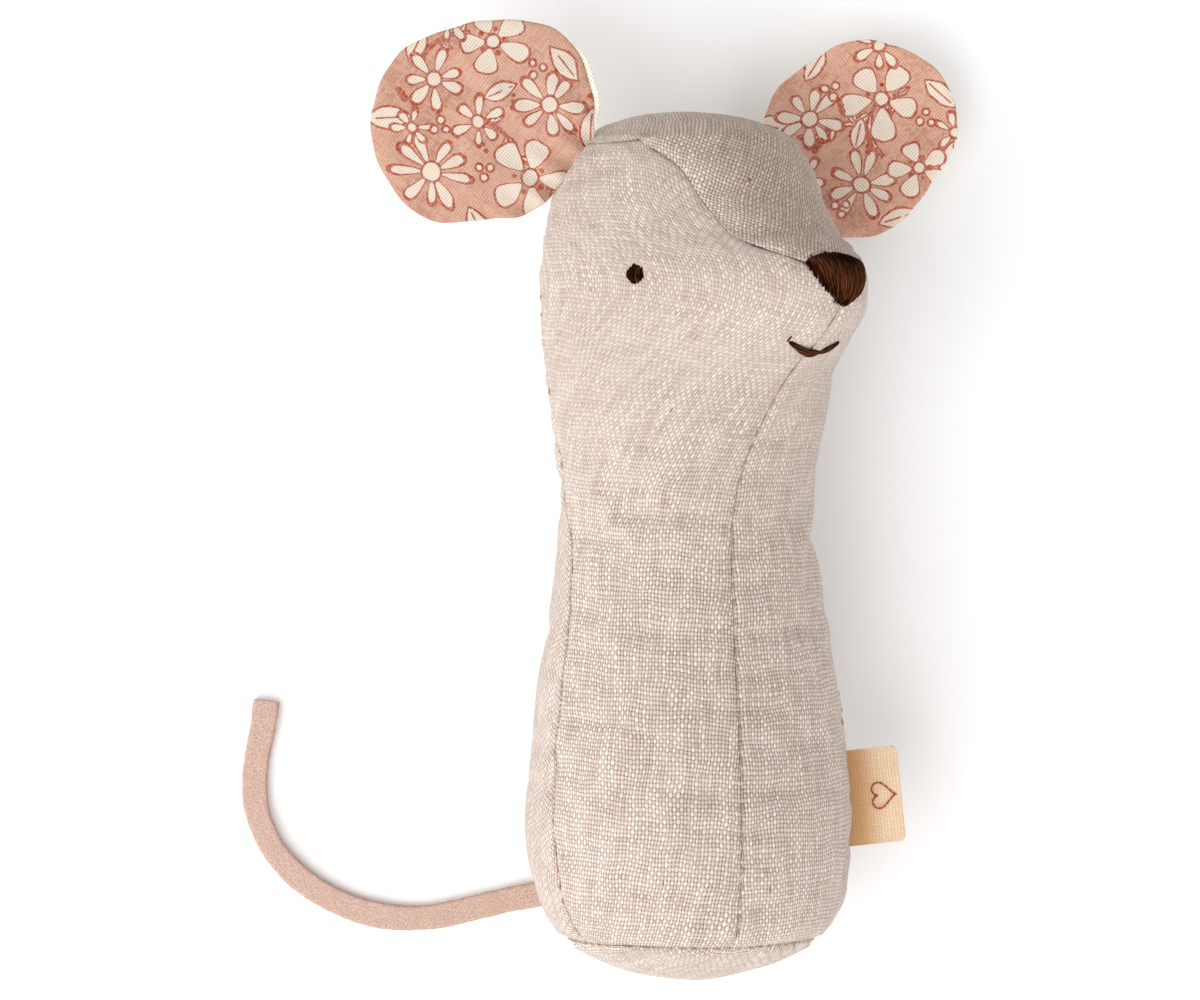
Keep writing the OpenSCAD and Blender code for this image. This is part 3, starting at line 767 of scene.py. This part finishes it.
def panel(name, node, surface, shape, seams, lean=0, side=0, middle=False, shade=None):
    """A sewn panel. surface(rows, cols) gives its grid of points. seams holds the seams at the first and
    last column and the first and last row. side is 1 or -1 for a side panel, whose threads follow the
    body. With middle, the threads follow the middle column. shade(i, j) gives the painted shade at shares of
    the grid."""
    points = surface(*shape)
    turned = math.copysign(1.0, (normals(points) * (points - body_middle(points))).sum())
    out = normals(points) * turned
    across, up = run_length(points, 1), run_length(points, 0)
    lift = 0.28 * noise(points, 13) + 0.16 * noise(points, 5.5, 1) + 0.05 * noise(points, 1.7, 2)
    for distance, seam in zip((across, across[:, -1:] - across, up, up[-1:] - up), seams):
        lift = with_seam(lift, points, distance, seam)
    lift = lift + wrinkles(name, surface, out, turned)
    # Where the toy rests on the floor, the cloth stays flat
    lift = np.where(points[..., 2] < 0.6, np.minimum(lift, 0.15), lift)
    points = points + out * lift[..., None]
    out = normals(points) * turned
    if side:
        across, up = side_threads(side, *shape)
    for axis in (0, 1):
        points, out, across, up = turned_in(points, out, across, up, axis)
    rows, cols = points.shape[:2]
    if middle:
        column = [cols // 2]
        across = across - across[:, column]
        up = up[:, column] + 0 * up
    c, s = compass(lean)
    fabric = np.stack([across * c + up * s, up * c - across * s, np.full(across.shape, len(name) * 3.7)], -1)
    i, j = np.meshgrid(np.linspace(0, 1, rows), np.linspace(0, 1, cols), indexing="ij")
    # tone is the painted shade that shade(i, j) gives
    tone = shade(i, j) if shade else 0 * i
    relief = 0.92 - 0.42 * smoothstep((i - 0.45) / 0.25) if side else 0 * i + 0.95
    both = above(stacked(points, points - out * CLOTH_T), 0.02)
    obj = mesh_object(
        name, both, slab_faces(rows, cols, flip=turned < 0),
        {"fabric": stacked(fabric, fabric), "shade": stacked(tone, tone), "relief": stacked(relief, relief)},
    )
    settle(obj, LINEN, "body", "linen", node)


def side_surface(side):
    def surface(rows, cols):
        y = np.linspace(SEAM_Y, CROWN_Y, rows)[:, None]
        share = np.linspace(0, 1, cols)[None]
        return skin(side * (front_edge(y) + (side_edge(y) - front_edge(y)) * share), y)

    return surface


def strip_surface(rows, cols):
    """From the base up the back, over the crown and down the forehead to the tip of the nose."""
    back_rows, crown_rows = int(rows * 0.66), int(rows * 0.17)
    j = np.linspace(0, 1, cols)[None]
    y = np.linspace(SEAM_Y, CROWN_Y, back_rows)[:, None]
    back = skin(-side_edge(y) - (360 - 2 * side_edge(y)) * j, y)
    t = (np.arange(1, crown_rows + 1) / (crown_rows + 1))[:, None, None]
    edge, brow = side_edge(CROWN_Y), front_edge(CROWN_Y)
    back_point = section_point(-edge - (360 - 2 * edge) * j, CROWN_Y)
    brow_point = section_point(brow * (2 * j - 1), CROWN_Y)
    over = crown(back_point * (1 - t) + brow_point * t)
    rim = edge + (brow - edge) * t[:, :, 0]
    over[:, :1] = skin(-rim, CROWN_Y)
    over[:, -1:] = skin(rim, CROWN_Y)
    y = np.linspace(CROWN_Y, TIP_Y, rows - back_rows - crown_rows)[:, None]
    front = skin(front_edge(y) * (2 * j - 1), y)
    return np.concatenate([back, over, front])


def base_surface(rows, cols):
    """A square grid pressed into the round base."""
    u, v = np.meshgrid(np.linspace(-1, 1, cols), np.linspace(-1, 1, rows))
    x, y = u * np.sqrt(1 - v * v / 2), v * np.sqrt(1 - u * u / 2)
    return base_skin(np.degrees(np.arctan2(x, y)), np.minimum(1, np.hypot(x, y)))


def forehead_painted_shade(i, j):
    """Painted shade on the forehead, which faces away from the lights, added to its darker grain; strongest
    away from the mouse's right.
    """
    return smoothstep((i - 0.68) / 0.12) * (0.3 + 0.7 * smoothstep(j / 0.45))


# How deep each seam lies, how much it puckers, how proud the cloth beside it stands, and its width
FRONT = (0.36, 0.12, 0.0, 0.65)
FRONT_PROUD = (0.34, 0.12, 0.22, 0.6)
SIDE = (0.2, 0.3, 0.05, 0.7)
TOP = (0.36, 0.2, 0.0, 0.8)
END = (0.45, 0.4, 0.1, 0.8)
TIP = (0.2, 0.0, 0.0, 1.0)
for side, name, front, lean in ((1, "left", FRONT_PROUD, 3), (-1, "right", FRONT, 5)):
    panel(
        f"linen_side_{name}", f"side_panel_{name}", side_surface(side), (216, 104), (front, SIDE, END, TOP),
        lean=lean, side=side,
    )
panel(
    "linen_back_strip", "back_panel", strip_surface, (330, 132), (SIDE, SIDE, END, TIP),
    lean=28, middle=True, shade=forehead_painted_shade,
)
panel("linen_base", "base_panel", base_surface, (92, 92), (END, END, END, END))

# ---------------------------------------------------------------- sewing thread

STITCH_PITCH, STITCH_LENGTH, THREAD_R = 2.4, 1.8, 0.14
STITCH_T = np.linspace(0, 1, 9)
STITCH_ARCH = np.sin(math.pi * STITCH_T) - 0.75


def add_stitch(paths, angles, y, lift):
    """Adds one stitch that dips into the cloth at both ends, unless the toy rests on it."""
    p = skin(angles, y)
    p = p + unit(p - skin(angles, y, 1.0)) * lift[:, None]
    if p[:, 2].min() > 0.5:
        paths.append(p)


def seam_stitches(name, node, angle, high, lift, radius, sway, seed, loose):
    """Short stitches up a seam, which sway across it and lift out of it by chance."""
    rng = np.random.default_rng(seed)
    paths = []
    y = SEAM_Y + 2
    while y < high:
        ys = y + STITCH_LENGTH * rng.uniform(0.75, 1.15) * STITCH_T
        slant = np.degrees(sway * rng.uniform(-1, 1) / BELLY_R) * (STITCH_T - 0.5)
        arch = lift + rng.uniform(-0.25, 0.1) * loose + 0.45 * STITCH_ARCH
        add_stitch(paths, angle(ys) + slant, ys, arch)
        y += STITCH_PITCH * rng.uniform(0.9, 1.1)
    settle(thread_object(name, paths, radius), TAN_THREAD, "body", "sewing_thread", node)


def base_stitches():
    paths = []
    step, reach = np.degrees(STITCH_PITCH / BELLY_R), np.degrees(STITCH_LENGTH / BELLY_R)
    for a in np.arange(-139, 101, step):
        add_stitch(paths, a + reach * STITCH_T, SEAM_Y + 0.3, -0.7 + 0.3 * STITCH_ARCH)
    obj = thread_object("base_seam_stitches", paths, THREAD_R)
    settle(obj, TAN_THREAD, "body", "sewing_thread", "base_seam_thread")


seam_stitches("front_seam_stitches", "front_seam_thread", lambda y: 0 * y, 94, -0.1, 0.11, 0.15, 3, 0.0)
for side, name, seed in ((1, "left", 4), (-1, "right", 5)):
    seam_stitches(
        f"side_seam_stitches_{name}", f"side_seam_thread_{name}", lambda y: side * side_edge(y),
        0.86 * BODY_LENGTH, -0.2, THREAD_R, 0.7, seed, 1.0,
    )
base_stitches()

# ---------------------------------------------------------------- embroidery


def on_skin(a, y, lift):
    """Points on the cover, lifted along its normal."""
    a, y, lift = np.broadcast_arrays(a, y, lift)
    da = skin(a + 0.5, y) - skin(a - 0.5, y)
    dy = skin(a, y + 0.3) - skin(a, y - 0.3)
    return skin(a, y) + unit(np.cross(da, dy)) * lift[..., None]


def satin(name, node, middle, top_of, bottom_of, threads, rise, radius, seed, layers=2, fray=0.16):
    """Satin stitch: threads side by side from a lower edge to an upper one, over a raised pad."""
    rng = np.random.default_rng(seed)
    t = np.linspace(0, 1, 15)
    paths, radii = [], []
    for layer in range(layers):
        for k in range(threads):
            s = -1 + 2 * (k + 0.5 * layer + rng.uniform(-0.3, 0.3)) / (threads - 0.5)
            s = min(1.0, max(-1.0, s))
            (a1, y1), (a0, y0) = top_of(s), bottom_of(s)
            a1, y1 = a1 + rng.normal(0, fray * 1.4), y1 + rng.normal(0, fray)
            a0, y0 = a0 + rng.normal(0, fray * 1.4), y0 + rng.normal(0, fray)
            bow = rng.normal(0, fray * 1.2) * np.sin(math.pi * t)
            arch = (1 - np.abs(2 * t - 1) ** 3.0) * (1 - 0.45 * abs(s) ** 3)
            lift = -0.25 + (rise + 0.3 + 0.08 * layer) * arch
            paths.append(on_skin(middle[0] + a0 + (a1 - a0) * t + bow, middle[1] + y0 + (y1 - y0) * t, lift))
            radii.append(radius * rng.uniform(0.85, 1.15) * np.ones(len(t)))
    obj = thread_object(name, paths, radii, taper=0.5)
    settle(obj, BROWN_THREAD, "body", "embroidery_thread", node)


# Degrees from the middle, and millimetres up from it
NOSE_LOW = np.array([[0, -3.3], [3.2, -3.1], [7.5, -1.7], [11.5, 0.8], [13.5, 2.7]])
NOSE_HIGH = np.array([[0, 4.5], [5.5, 4.4], [10, 3.9], [13.5, 2.8]])


def nose_top(s):
    a = 13.3 * s
    return a, np.interp(abs(a), NOSE_HIGH[:, 0], NOSE_HIGH[:, 1])


def nose_bottom(s):
    a = 13.2 * math.copysign(abs(s) ** 1.5, s)
    return a, np.interp(abs(a), NOSE_LOW[:, 0], NOSE_LOW[:, 1])


def oval_top(s):
    return 2.3 * s, 1.6 * math.sqrt(1 - s * s * 0.8)


def oval_bottom(s):
    a, y = oval_top(s)
    return a, -y


satin("nose_satin", "nose", (0, 107.9), nose_top, nose_bottom, 56, 0.95, 0.14, 11, 4, fray=0.22)
for side, name in ((1, "left"), (-1, "right")):
    satin(
        f"eye_satin_{name}", f"eye_{name}", (side * 60, 109.5), oval_top, oval_bottom,
        9, 0.5, 0.22, 20 + side,
    )


def make_mouth():
    """Long stitches from one angle to another, each with its own droop, and one short one at the corner."""
    rng = np.random.default_rng(31)
    t = np.linspace(0, 1, 21)
    hump = np.sin(math.pi * t)
    paths, radii = [], []
    for first, last, drop in (
        (-12.8, -1.0, 0.05), (-12.2, 1.5, 0.35), (-8.5, 3.5, -0.25), (-6.5, 4.5, 0.4), (-5.5, 5.5, -0.4),
        (-3.5, 7.0, 0.1), (-1.0, 12.4, 0.2), (1.0, 11.6, -0.1),
    ):
        a = first + (last - first) * t
        y = 97.6 + 1.7 * (a / 13) ** 2 + drop * hump + 0.1 * rng.normal()
        paths.append(on_skin(a, y, -0.1 + 0.5 * hump**0.5))
        radii.append(np.full(len(t), 0.27))
    paths.append(on_skin(-13.4 + 0.5 * t, 98.9 + 1.2 * t, -0.05 + 0.3 * hump))
    radii.append(np.full(len(t), 0.13))
    obj = thread_object("mouth_stitches", paths, radii, taper=0.4)
    settle(obj, BROWN_THREAD, "body", "embroidery_thread", "mouth")


make_mouth()

# ---------------------------------------------------------------- ear print


def paint(x, y, shapes, seed):
    """A printed flower pattern at points of the flat cloth, as [distance outside the pale shapes,
    distance from the drawn lines, shade of the ground], in millimetres. Each shape is
    (x, y, half length, half width, angle, kind); later shapes cover earlier ones."""
    spot = np.stack([x, y, 0 * x + seed], -1)
    rough_edge = 0.09 * noise(spot + [0, 0, 9], 0.7, 1) + 0.22 * noise(spot + [0, 0, 4], 1.9, 2)
    shade = 0.35 + 0.5 * noise(spot, 4.0, 2) + 0.35 * noise(spot, 0.5)
    pale, line = np.full(x.shape, 9.0), np.full(x.shape, 9.0)
    for cx, cy, long, wide, angle, kind in shapes:
        c, s = compass(angle)
        u, v = (x - cx) * c + (y - cy) * s, (y - cy) * c - (x - cx) * s
        if kind == "petal":  # narrow at the flower's middle and round at the tip
            half = wide * (0.62 + 0.38 * np.clip(u / long, -1, 1))
            d = (np.sqrt((u / long) ** 2 + (v / half) ** 2) - 1) * wide
        elif kind == "leaf":
            half = wide * np.maximum(1 - (u / long) ** 2, 0.0)
            d = np.maximum(np.abs(v) - half, np.abs(u) - long)
        elif kind == "stem":  # half length is the radius and half width the sweep in degrees
            sweep = np.degrees(np.arctan2(v, u))
            d = np.maximum(np.abs(np.hypot(u, v) - long) - 0.28, (np.abs(sweep) - wide) * long / 57)
        else:
            d = np.hypot(u, v) - long
        d = d + rough_edge
        if kind == "dot":
            line = np.minimum(line, d)
            continue
        pale = np.minimum(pale, d)
        line = np.where(d < 0, -d, np.minimum(line, d))
        if kind == "leaf":
            vein = np.abs(v) + 0.05 + 0.5 * np.maximum(np.abs(u) - long * 0.7, 0) + 0.2 * (rough_edge > 0.08)
            line = np.where(d < 0, np.minimum(line, vein), line)
    return np.stack([pale, line, shade], -1)


def daisy(x, y, size, petals, turn, middle=0.26, wide=0.25):
    """A flower of separate petals, each a little different from the next."""
    shapes = []
    for k in range(petals):
        a = turn + 360 * k / petals + 7 * math.sin(2.3 * k + x)
        long = size * (0.4 + 0.05 * math.sin(1.7 * k + y))
        r = size * 0.2 + long
        c, s = compass(a)
        shapes.append((x + r * c, y + r * s, long, size * wide * (1 + 0.12 * math.sin(k * 2.9)), a, "petal"))
    return shapes + [(x, y, size * middle, 0, 0, "disc")]


def bloom(x, y, size, turn):
    """A wide flower of five broad petals round a dotted middle."""
    flower = daisy(x, y, size, 5, turn, 0.2, 0.42)
    for k in range(5):
        c, s = compass(turn + 36 + 72 * k)
        flower.append((x + size * 0.36 * c, y + size * 0.36 * s, 0.22, 0, 0, "dot"))
    return flower


def berries(x, y, turn):
    places = [compass(turn + a) for a in (0, 115, 240)]
    return [(x + 1.05 * c, y + 1.05 * s, 0.62, 0, 0, "disc") for c, s in places]


def sprig(x, y, size, turn):
    """A curved stem with three small leaves."""
    shapes = [(x, y, size, 38, turn + 90, "stem")]
    for side, share in ((1, 0.35), (-1, 0.75), (1, 1.15)):
        a = turn + 90 - 38 + 60 * share
        c, s = compass(a)
        shapes.append((x + (size + side) * c, y + (size + side) * s, 1.3, 0.55, a + side * 35, "leaf"))
    return shapes


def dots(x, y, count, step, turn):
    c, s = compass(turn)
    return [(x + k * step * c, y + k * step * s, 0.3, 0, 0, "dot") for k in range(count)]


def leaves(*rows):
    return [(*row, "leaf") for row in rows]


PRINTS = {
    "right": (
        sprig(-2, -9, 9, 10) + sprig(6, 3, 8, -70) + sprig(-9, 2, 7, 100)
        + leaves((-4.5, 14.8, 3.4, 1.6, 15), (13, -9, 3.8, 1.8, -40), (-14, 8.5, 3.6, 1.7, 60))
        + leaves((15.8, 3.5, 3.0, 1.5, 80), (-8.5, -15, 3.6, 1.6, 30), (1, 5.2, 2.8, 1.3, -60))
        + daisy(-6.5, 8, 5.4, 8, 10) + bloom(6.5, 11, 5.6, 30) + daisy(1.0, -1.0, 4.2, 6, 0)
        + daisy(10.5, 0.5, 4.8, 7, 20) + bloom(-10.5, -3.5, 6.6, 5) + daisy(2.5, -12.0, 6.2, 9, 0, 0.24, 0.2)
        + daisy(13.8, 9.5, 3.4, 6, 10) + daisy(9, -8, 3.2, 6, 15)
        + berries(-1.5, 11.5, 20) + berries(5.5, -5.2, 60) + berries(-4.2, -6.8, 0)
        + dots(-2, 4.3, 3, 1.0, 60) + dots(12.6, -4.8, 3, 0.9, 20) + dots(-12.8, 13.0, 3, 1.0, 0)
        + dots(-2.5, -4.0, 2, 1.0, 30)
    ),
    "left": (
        sprig(3, 8, 8, -160) + sprig(-5, -4, 9, -20) + sprig(8, -3, 7, 60)
        + leaves((9, -11.5, 3.8, 1.8, 40), (-3, -13.5, 3.4, 1.6, -20), (14.5, -1.5, 3.2, 1.5, 100))
        + leaves((-10, 10.5, 3.4, 1.6, -50), (1.5, 14.3, 3.0, 1.4, 20), (0, 1.2, 2.6, 1.2, 40))
        + bloom(6.5, 3.5, 6.4, 15) + daisy(-4.5, 8, 5.0, 8, 0) + daisy(-4.5, -5.5, 5.6, 8, 25, 0.24, 0.22)
        + bloom(4.5, -9.0, 4.8, 0) + daisy(11.5, 10.5, 4.2, 7, 20) + daisy(12.5, -8, 3.4, 6, 0)
        + daisy(-11.5, 1, 3.8, 6, 10)
        + berries(1, 9.5, 10) + berries(10.2, -3.4, 50) + berries(-9.5, -6.5, 0)
        + dots(-0.5, -2.0, 3, 1.0, 40) + dots(0.5, 5.8, 3, 0.9, 70) + dots(-7, 3.4, 3, 1.0, 20)
    ),
}

# ---------------------------------------------------------------- ears

EAR_LAYER_T = 0.6
EAR_SPLAY = 37.4
ROOT_REACH = 2.6
# radii are the outline's, at every 30 degrees from straight outwards; root is the seam's place
EARS = {
    "left": dict(
        radii=[16.3, 16.3, 16.1, 15.3, 16.2, 16.4, 16.4, 16.2, 15.8, 13.7, 13.4, 15.5],
        at=(31.3, 57.9, 7.4), tilt=(14, -4), root=-14.5, mirror=1, curve=0.85, seed=3,
    ),
    "right": dict(
        radii=[17.3, 15.8, 16.0, 18.3, 18.2, 17.2, 15.4, 16.0, 16.3, 19.2, 19.0, 18.4],
        at=(-28.2, 59.5, 27.8), tilt=(18, -8), root=-14.0, mirror=-1, curve=1.1, seed=8,
    ),
}


def outline_radius(radii, angle):
    """A smooth closed curve through the radii."""
    p = np.degrees(angle) % 360 * len(radii) / 360
    i = np.floor(p).astype(int)
    t = p - i
    r0, r1, r2, r3 = (np.array(radii)[(i + k) % len(radii)] for k in (-1, 0, 1, 2))
    return r1 + 0.5 * t * (r2 - r0 + t * (2 * r0 - 5 * r1 + 4 * r2 - r3 + t * (3 * (r1 - r2) + r3 - r0)))


def ear_edge(which, front, angle):
    """Distance from an ear's middle to its edge."""
    ear = EARS[which]
    edge = outline_radius(ear["radii"], angle) + 0.12 * np.sin(7 * angle + 1) + 0.07 * np.sin(17 * angle)
    # The lining shows only where the print is rolled back, beside the head
    rolled = np.exp(-(((np.degrees(angle) - 126) / 24) ** 4)) * (which == "right")
    edge = edge - (0.05 + 0.6 * rolled) if front else edge - 0.4 + 0.65 * rolled
    # The root is cut straight, inside the seam
    inward = np.minimum(np.cos(angle), -0.05)
    to_root = np.where(np.cos(angle) < -0.05, (ear["root"] - ROOT_REACH) / inward, np.inf)
    return np.minimum(edge, to_root)


def ear_bend(x, y, ear):
    """How the whole ear curves out of its plane: soft cupping, creases and pleats at the root."""
    out = x - ear["root"]
    spot = np.stack([x, y, 0 * x + 40 * ear["mirror"]], -1)
    bend = 0.5 * noise(spot, 9) + 0.22 * noise(spot, 3.8, 1)
    bend = bend - 0.35 * bell((x * 0.8 + y * 0.6 - 6) / 1.6) * smoothstep((y + 4) / 8)
    bend = bend + 0.3 * bell((x * 0.2 - y + 4.5) / 1.4) * smoothstep((x + 12) / 10)
    pleat = np.cos(y * 1.25 + 0.6) * 0.55 * np.exp(-np.maximum(out, 0) / 4.5)
    return (bend * smoothstep(out / 6) + pleat) * ear["curve"]


def make_ear(which, layer):
    """One cloth layer of an ear: a thin slab whose edge is rolled over to meet the other layer."""
    ear, front = EARS[which], layer == "print"
    sign = 1 if front else -1
    tilt = rotation(1, ear["tilt"][1]) @ rotation(0, ear["tilt"][0])
    matrix = tilt @ np.diag([ear["mirror"], 1, 1]) @ rotation(2, EAR_SPLAY)

    def in_place(local):
        """From the ear's own plane, outwards along +X, to the resting place."""
        return local @ matrix.T + np.array(ear["at"])

    rings, spokes = (120, 520) if front else (60, 300)
    angle = np.arange(spokes) * 2 * math.pi / spokes
    edge = ear_edge(which, front, angle)
    share = np.linspace(0, 1, rings)[:, None] ** 0.92
    x, y = share * edge * np.cos(angle), share * edge * np.sin(angle)
    rim = np.sqrt(np.maximum(0, 1 - share**14))
    face = 0.08 + (EAR_LAYER_T - 0.13) * rim + 0.04 * noise(np.stack([x, y, 0 * x], -1), 1.2)
    bend = ear_bend(x, y, ear)
    outer = np.stack([x, y, bend + sign * face], -1)
    inner = np.stack([x, y, bend + sign * 0.025 * rim], -1)
    points = above(in_place(stacked(outer, inner)), 0.05)
    n = rings * spokes
    turned = (ear["mirror"] * sign) < 0
    last = np.arange(n - spokes, n)
    rim_faces = np.stack([last, np.roll(last, -1), np.roll(last, -1) + n, last + n], -1)
    faces = np.concatenate([
        grid_faces(rings, spokes, 0, wrap=True, flip=not turned),
        grid_faces(rings, spokes, n, wrap=True, flip=turned),
        rim_faces if turned else rim_faces[:, ::-1],
    ])
    fabric = np.stack([x, y, 0 * x + 5], -1)
    attributes = {"fabric": stacked(fabric, fabric)}
    if front:
        pattern = paint(x, y, PRINTS[which], ear["seed"])
        attributes["print"] = stacked(pattern, pattern)
    name = f"ear_{'print_cotton' if front else 'lining_linen'}_{which}"
    obj = mesh_object(name, points, faces, attributes)
    slot = "printed_cotton" if front else "ear_lining_linen"
    settle(obj, PRINT[which] if front else LINING, None, slot, f"ear_{layer}_{which}")
    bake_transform(obj)
    area = 0.5 * (edge**2).sum() * 2 * math.pi / spokes
    area * MM * MM


for which in EARS:
    for layer in ("print", "lining"):
        make_ear(which, layer)

# ---------------------------------------------------------------- label

LABEL_AT, LABEL_SKEW = np.array([29.6, -46.8, 22.2]), 6.0
LABEL_REACH, LABEL_W, LABEL_T = 7.2, 15.0, 1.2
LABEL_LAYER_T = 0.42
LABEL_SEWN_IN = 2.0


def label_place(local):
    """From [out of the seam, along the seam, up] to the resting place."""
    return local @ rotation(2, LABEL_SKEW).T + LABEL_AT


def label_curl(out, across):
    """How far the tape lifts off flat."""
    return 0.35 * np.sin(across / 5.2 + 0.6) * smoothstep(out / 7) + 0.25 * (out / 7) ** 2


def make_label():
    """One strip of tape, folded in half, with both ends in the seam."""
    bend_r = (LABEL_T - LABEL_LAYER_T) / 2
    straight = LABEL_REACH - LABEL_T / 2 + LABEL_SEWN_IN
    total = 2 * straight + math.pi * bend_r
    rows, cols = 120, 110
    s = np.linspace(0, total, rows)[:, None] + np.zeros((1, cols))
    across = np.linspace(-0.5, 0.5, cols)[None] * LABEL_W + 0 * s
    turn = np.clip((s - straight) / bend_r, 0, math.pi)
    run = np.where(s < total / 2, s, total - s) - LABEL_SEWN_IN
    folded = (s >= straight) & (s <= total - straight)
    out = np.where(folded, straight - LABEL_SEWN_IN + bend_r * np.sin(turn), run)
    # The outer corners are soft
    corner = np.clip((np.abs(across) - (LABEL_W / 2 - 1.1)) / 1.1, 0, 1)
    out = out - 0.55 * corner**2.4 * smoothstep((out - 4) / 3)
    p = np.stack([out, across, bend_r * np.cos(turn) + label_curl(out, across)], -1)
    side = normals(p) * LABEL_LAYER_T / 2
    fabric = np.stack([run, across, 0 * run], -1)
    obj = mesh_object(
        "seam_tape", label_place(stacked(p + side, p - side)), slab_faces(rows, cols),
        {"fabric": stacked(fabric, fabric)},
    )
    settle(obj, TAPE, None, "woven_tape", "label")
    start, end = (label_place(np.array([v, 0, 0])) * MM for v in (-0.6, 1.2))
    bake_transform(obj)


def make_mark():
    """A plain little heart in red stitches on the tape."""
    t = np.linspace(0, 2 * math.pi, 23)[:-1]
    hx = 16 * np.sin(t) ** 3
    hy = 13 * np.cos(t) - 5 * np.cos(2 * t) - 2 * np.cos(3 * t) - np.cos(4 * t)
    size = 2.1 / 16
    # The heart stands upright for a reader who turns the tape's free edge down
    at = np.stack([4.1 - hy * size, hx * size], -1)
    m = np.linspace(-0.02, 0.92, 9)[:, None]
    paths = []
    for a, b in zip(at, np.roll(at, -1, axis=0)):
        xy = a + (b - a) * m
        arch = 0.12 * np.sin(math.pi * (m[:, 0] + 0.02) / 0.94)
        z = LABEL_T / 2 - 0.01 + label_curl(xy[:, 0], xy[:, 1]) + arch
        paths.append(label_place(np.column_stack([xy, z])))
    obj = thread_object("tape_heart_stitches", paths, 0.15)
    settle(obj, RED_THREAD, "label", "embroidery_thread")


make_label()
make_mark()

# ---------------------------------------------------------------- filling and rattle

CAPSULE_R, CAPSULE_H = 14, 21
CAPSULE_AT = np.array([AXIS_X + 0.5, BELLY_Y + 2 - ORIGIN_Y, AXIS_Z - 0.2])
BALLS = 5


def make_filling():
    """Loose fibre under the cover, with a pocket for the capsule."""
    inset, cols, gap = 2.0, 96, 0.4
    turns = np.linspace(0, 360, cols, endpoint=False)
    low = [base_skin(turns, np.full(cols, r), inset) for r in (0.02, 0.25, 0.5, 0.72, 0.88, 0.97)]
    mid = [skin(turns, y, inset) for y in np.linspace(SEAM_Y + 1, CROWN_Y - 0.5, 84)]
    edge = section_point(turns, CROWN_Y)
    high = [crown(edge * r, inset) for r in (0.96, 0.85, 0.68, 0.45, 0.2, 0.02)]
    rings = np.array(low + mid + high)
    lumps = 0.25 * noise(rings, 6) + 0.3 * noise(rings, 2.4, 1) - 0.4
    rings = above(rings + unit(rings - rings.mean(1, keepdims=True)) * lumps[..., None], 1.2)
    # The pocket, a rounded drum a little larger than the capsule
    top, r = CAPSULE_H / 2 + gap, CAPSULE_R + gap
    half = [(0.3, -top), (r * 0.5, -top), (r - 1, -top), (r, -top + 1)]
    profile = half + [(r, 0)] + [(q, -z) for q, z in reversed(half)]
    a = np.radians(turns)
    drum = np.array([np.stack([q * np.cos(a), q * np.sin(a), z + 0 * a], -1) for q, z in profile])
    drum = drum + CAPSULE_AT
    faces = tube_faces(len(rings), cols) + tube_faces(len(profile), cols, len(rings) * cols, flip=True)
    obj = mesh_object("fibre_filling", stacked(rings, drum), faces)
    settle(obj, FILL, "body", "fibre_fill", "stuffing")


make_filling()
for name in ("capsule_lower", "capsule_upper"):
    dress(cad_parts[name], CAPSULE)
for k in range(1, BALLS + 1):
    dress(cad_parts[f"ball_{k}"], BALL)

# ---------------------------------------------------------------- floor and light

FLOOR_HALF, FLOOR_Z = 8000, -0.2
corners = [(x * FLOOR_HALF, y * FLOOR_HALF, FLOOR_Z) for x, y in ((-1, -1), (1, -1), (1, 1), (-1, 1))]
floor = mesh_object("floor", corners, [(0, 1, 2, 3)])
paper = Nodes("floor_paper", roughness=0.9)
grain = paper.noise(paper.node("ShaderNodeTexCoord", output="Object"), 400.0, 3.0)
dress(floor, paper.finish(paper.mix(grain, (252, 252, 252), (250, 250, 250)), grain, 0.02, 0.1))


def area_light(name, location, size, power):
    """A soft square light that shines at the middle of the floor."""
    data = bpy.data.lights.new(name, "AREA")
    data.size = size
    data.energy = power
    obj = bpy.data.objects.new(name, data)
    obj.location = location
    x, y, z = -unit(np.array(location, float))
    obj.rotation_euler = (math.acos(-z), 0, math.atan2(y, x) - math.pi / 2)
    bpy.context.scene.collection.objects.link(obj)


area_light("key", (-0.42, -0.42, 0.9), 0.9, 7.2)
area_light("left_rim", (-0.75, 0.1, 0.22), 0.5, 2.8)
area_light("right_fill", (0.75, -0.25, 0.6), 0.9, 3.0)
area_light("low_front", (-0.15, -0.8, 0.22), 0.5, 1.6)
world = bpy.data.worlds.new("studio")
world.use_nodes = True
background = world.node_tree.nodes["Background"].inputs
background["Color"].default_value = (1, 1, 1, 1)
background["Strength"].default_value = 0.56
bpy.context.scene.world = world
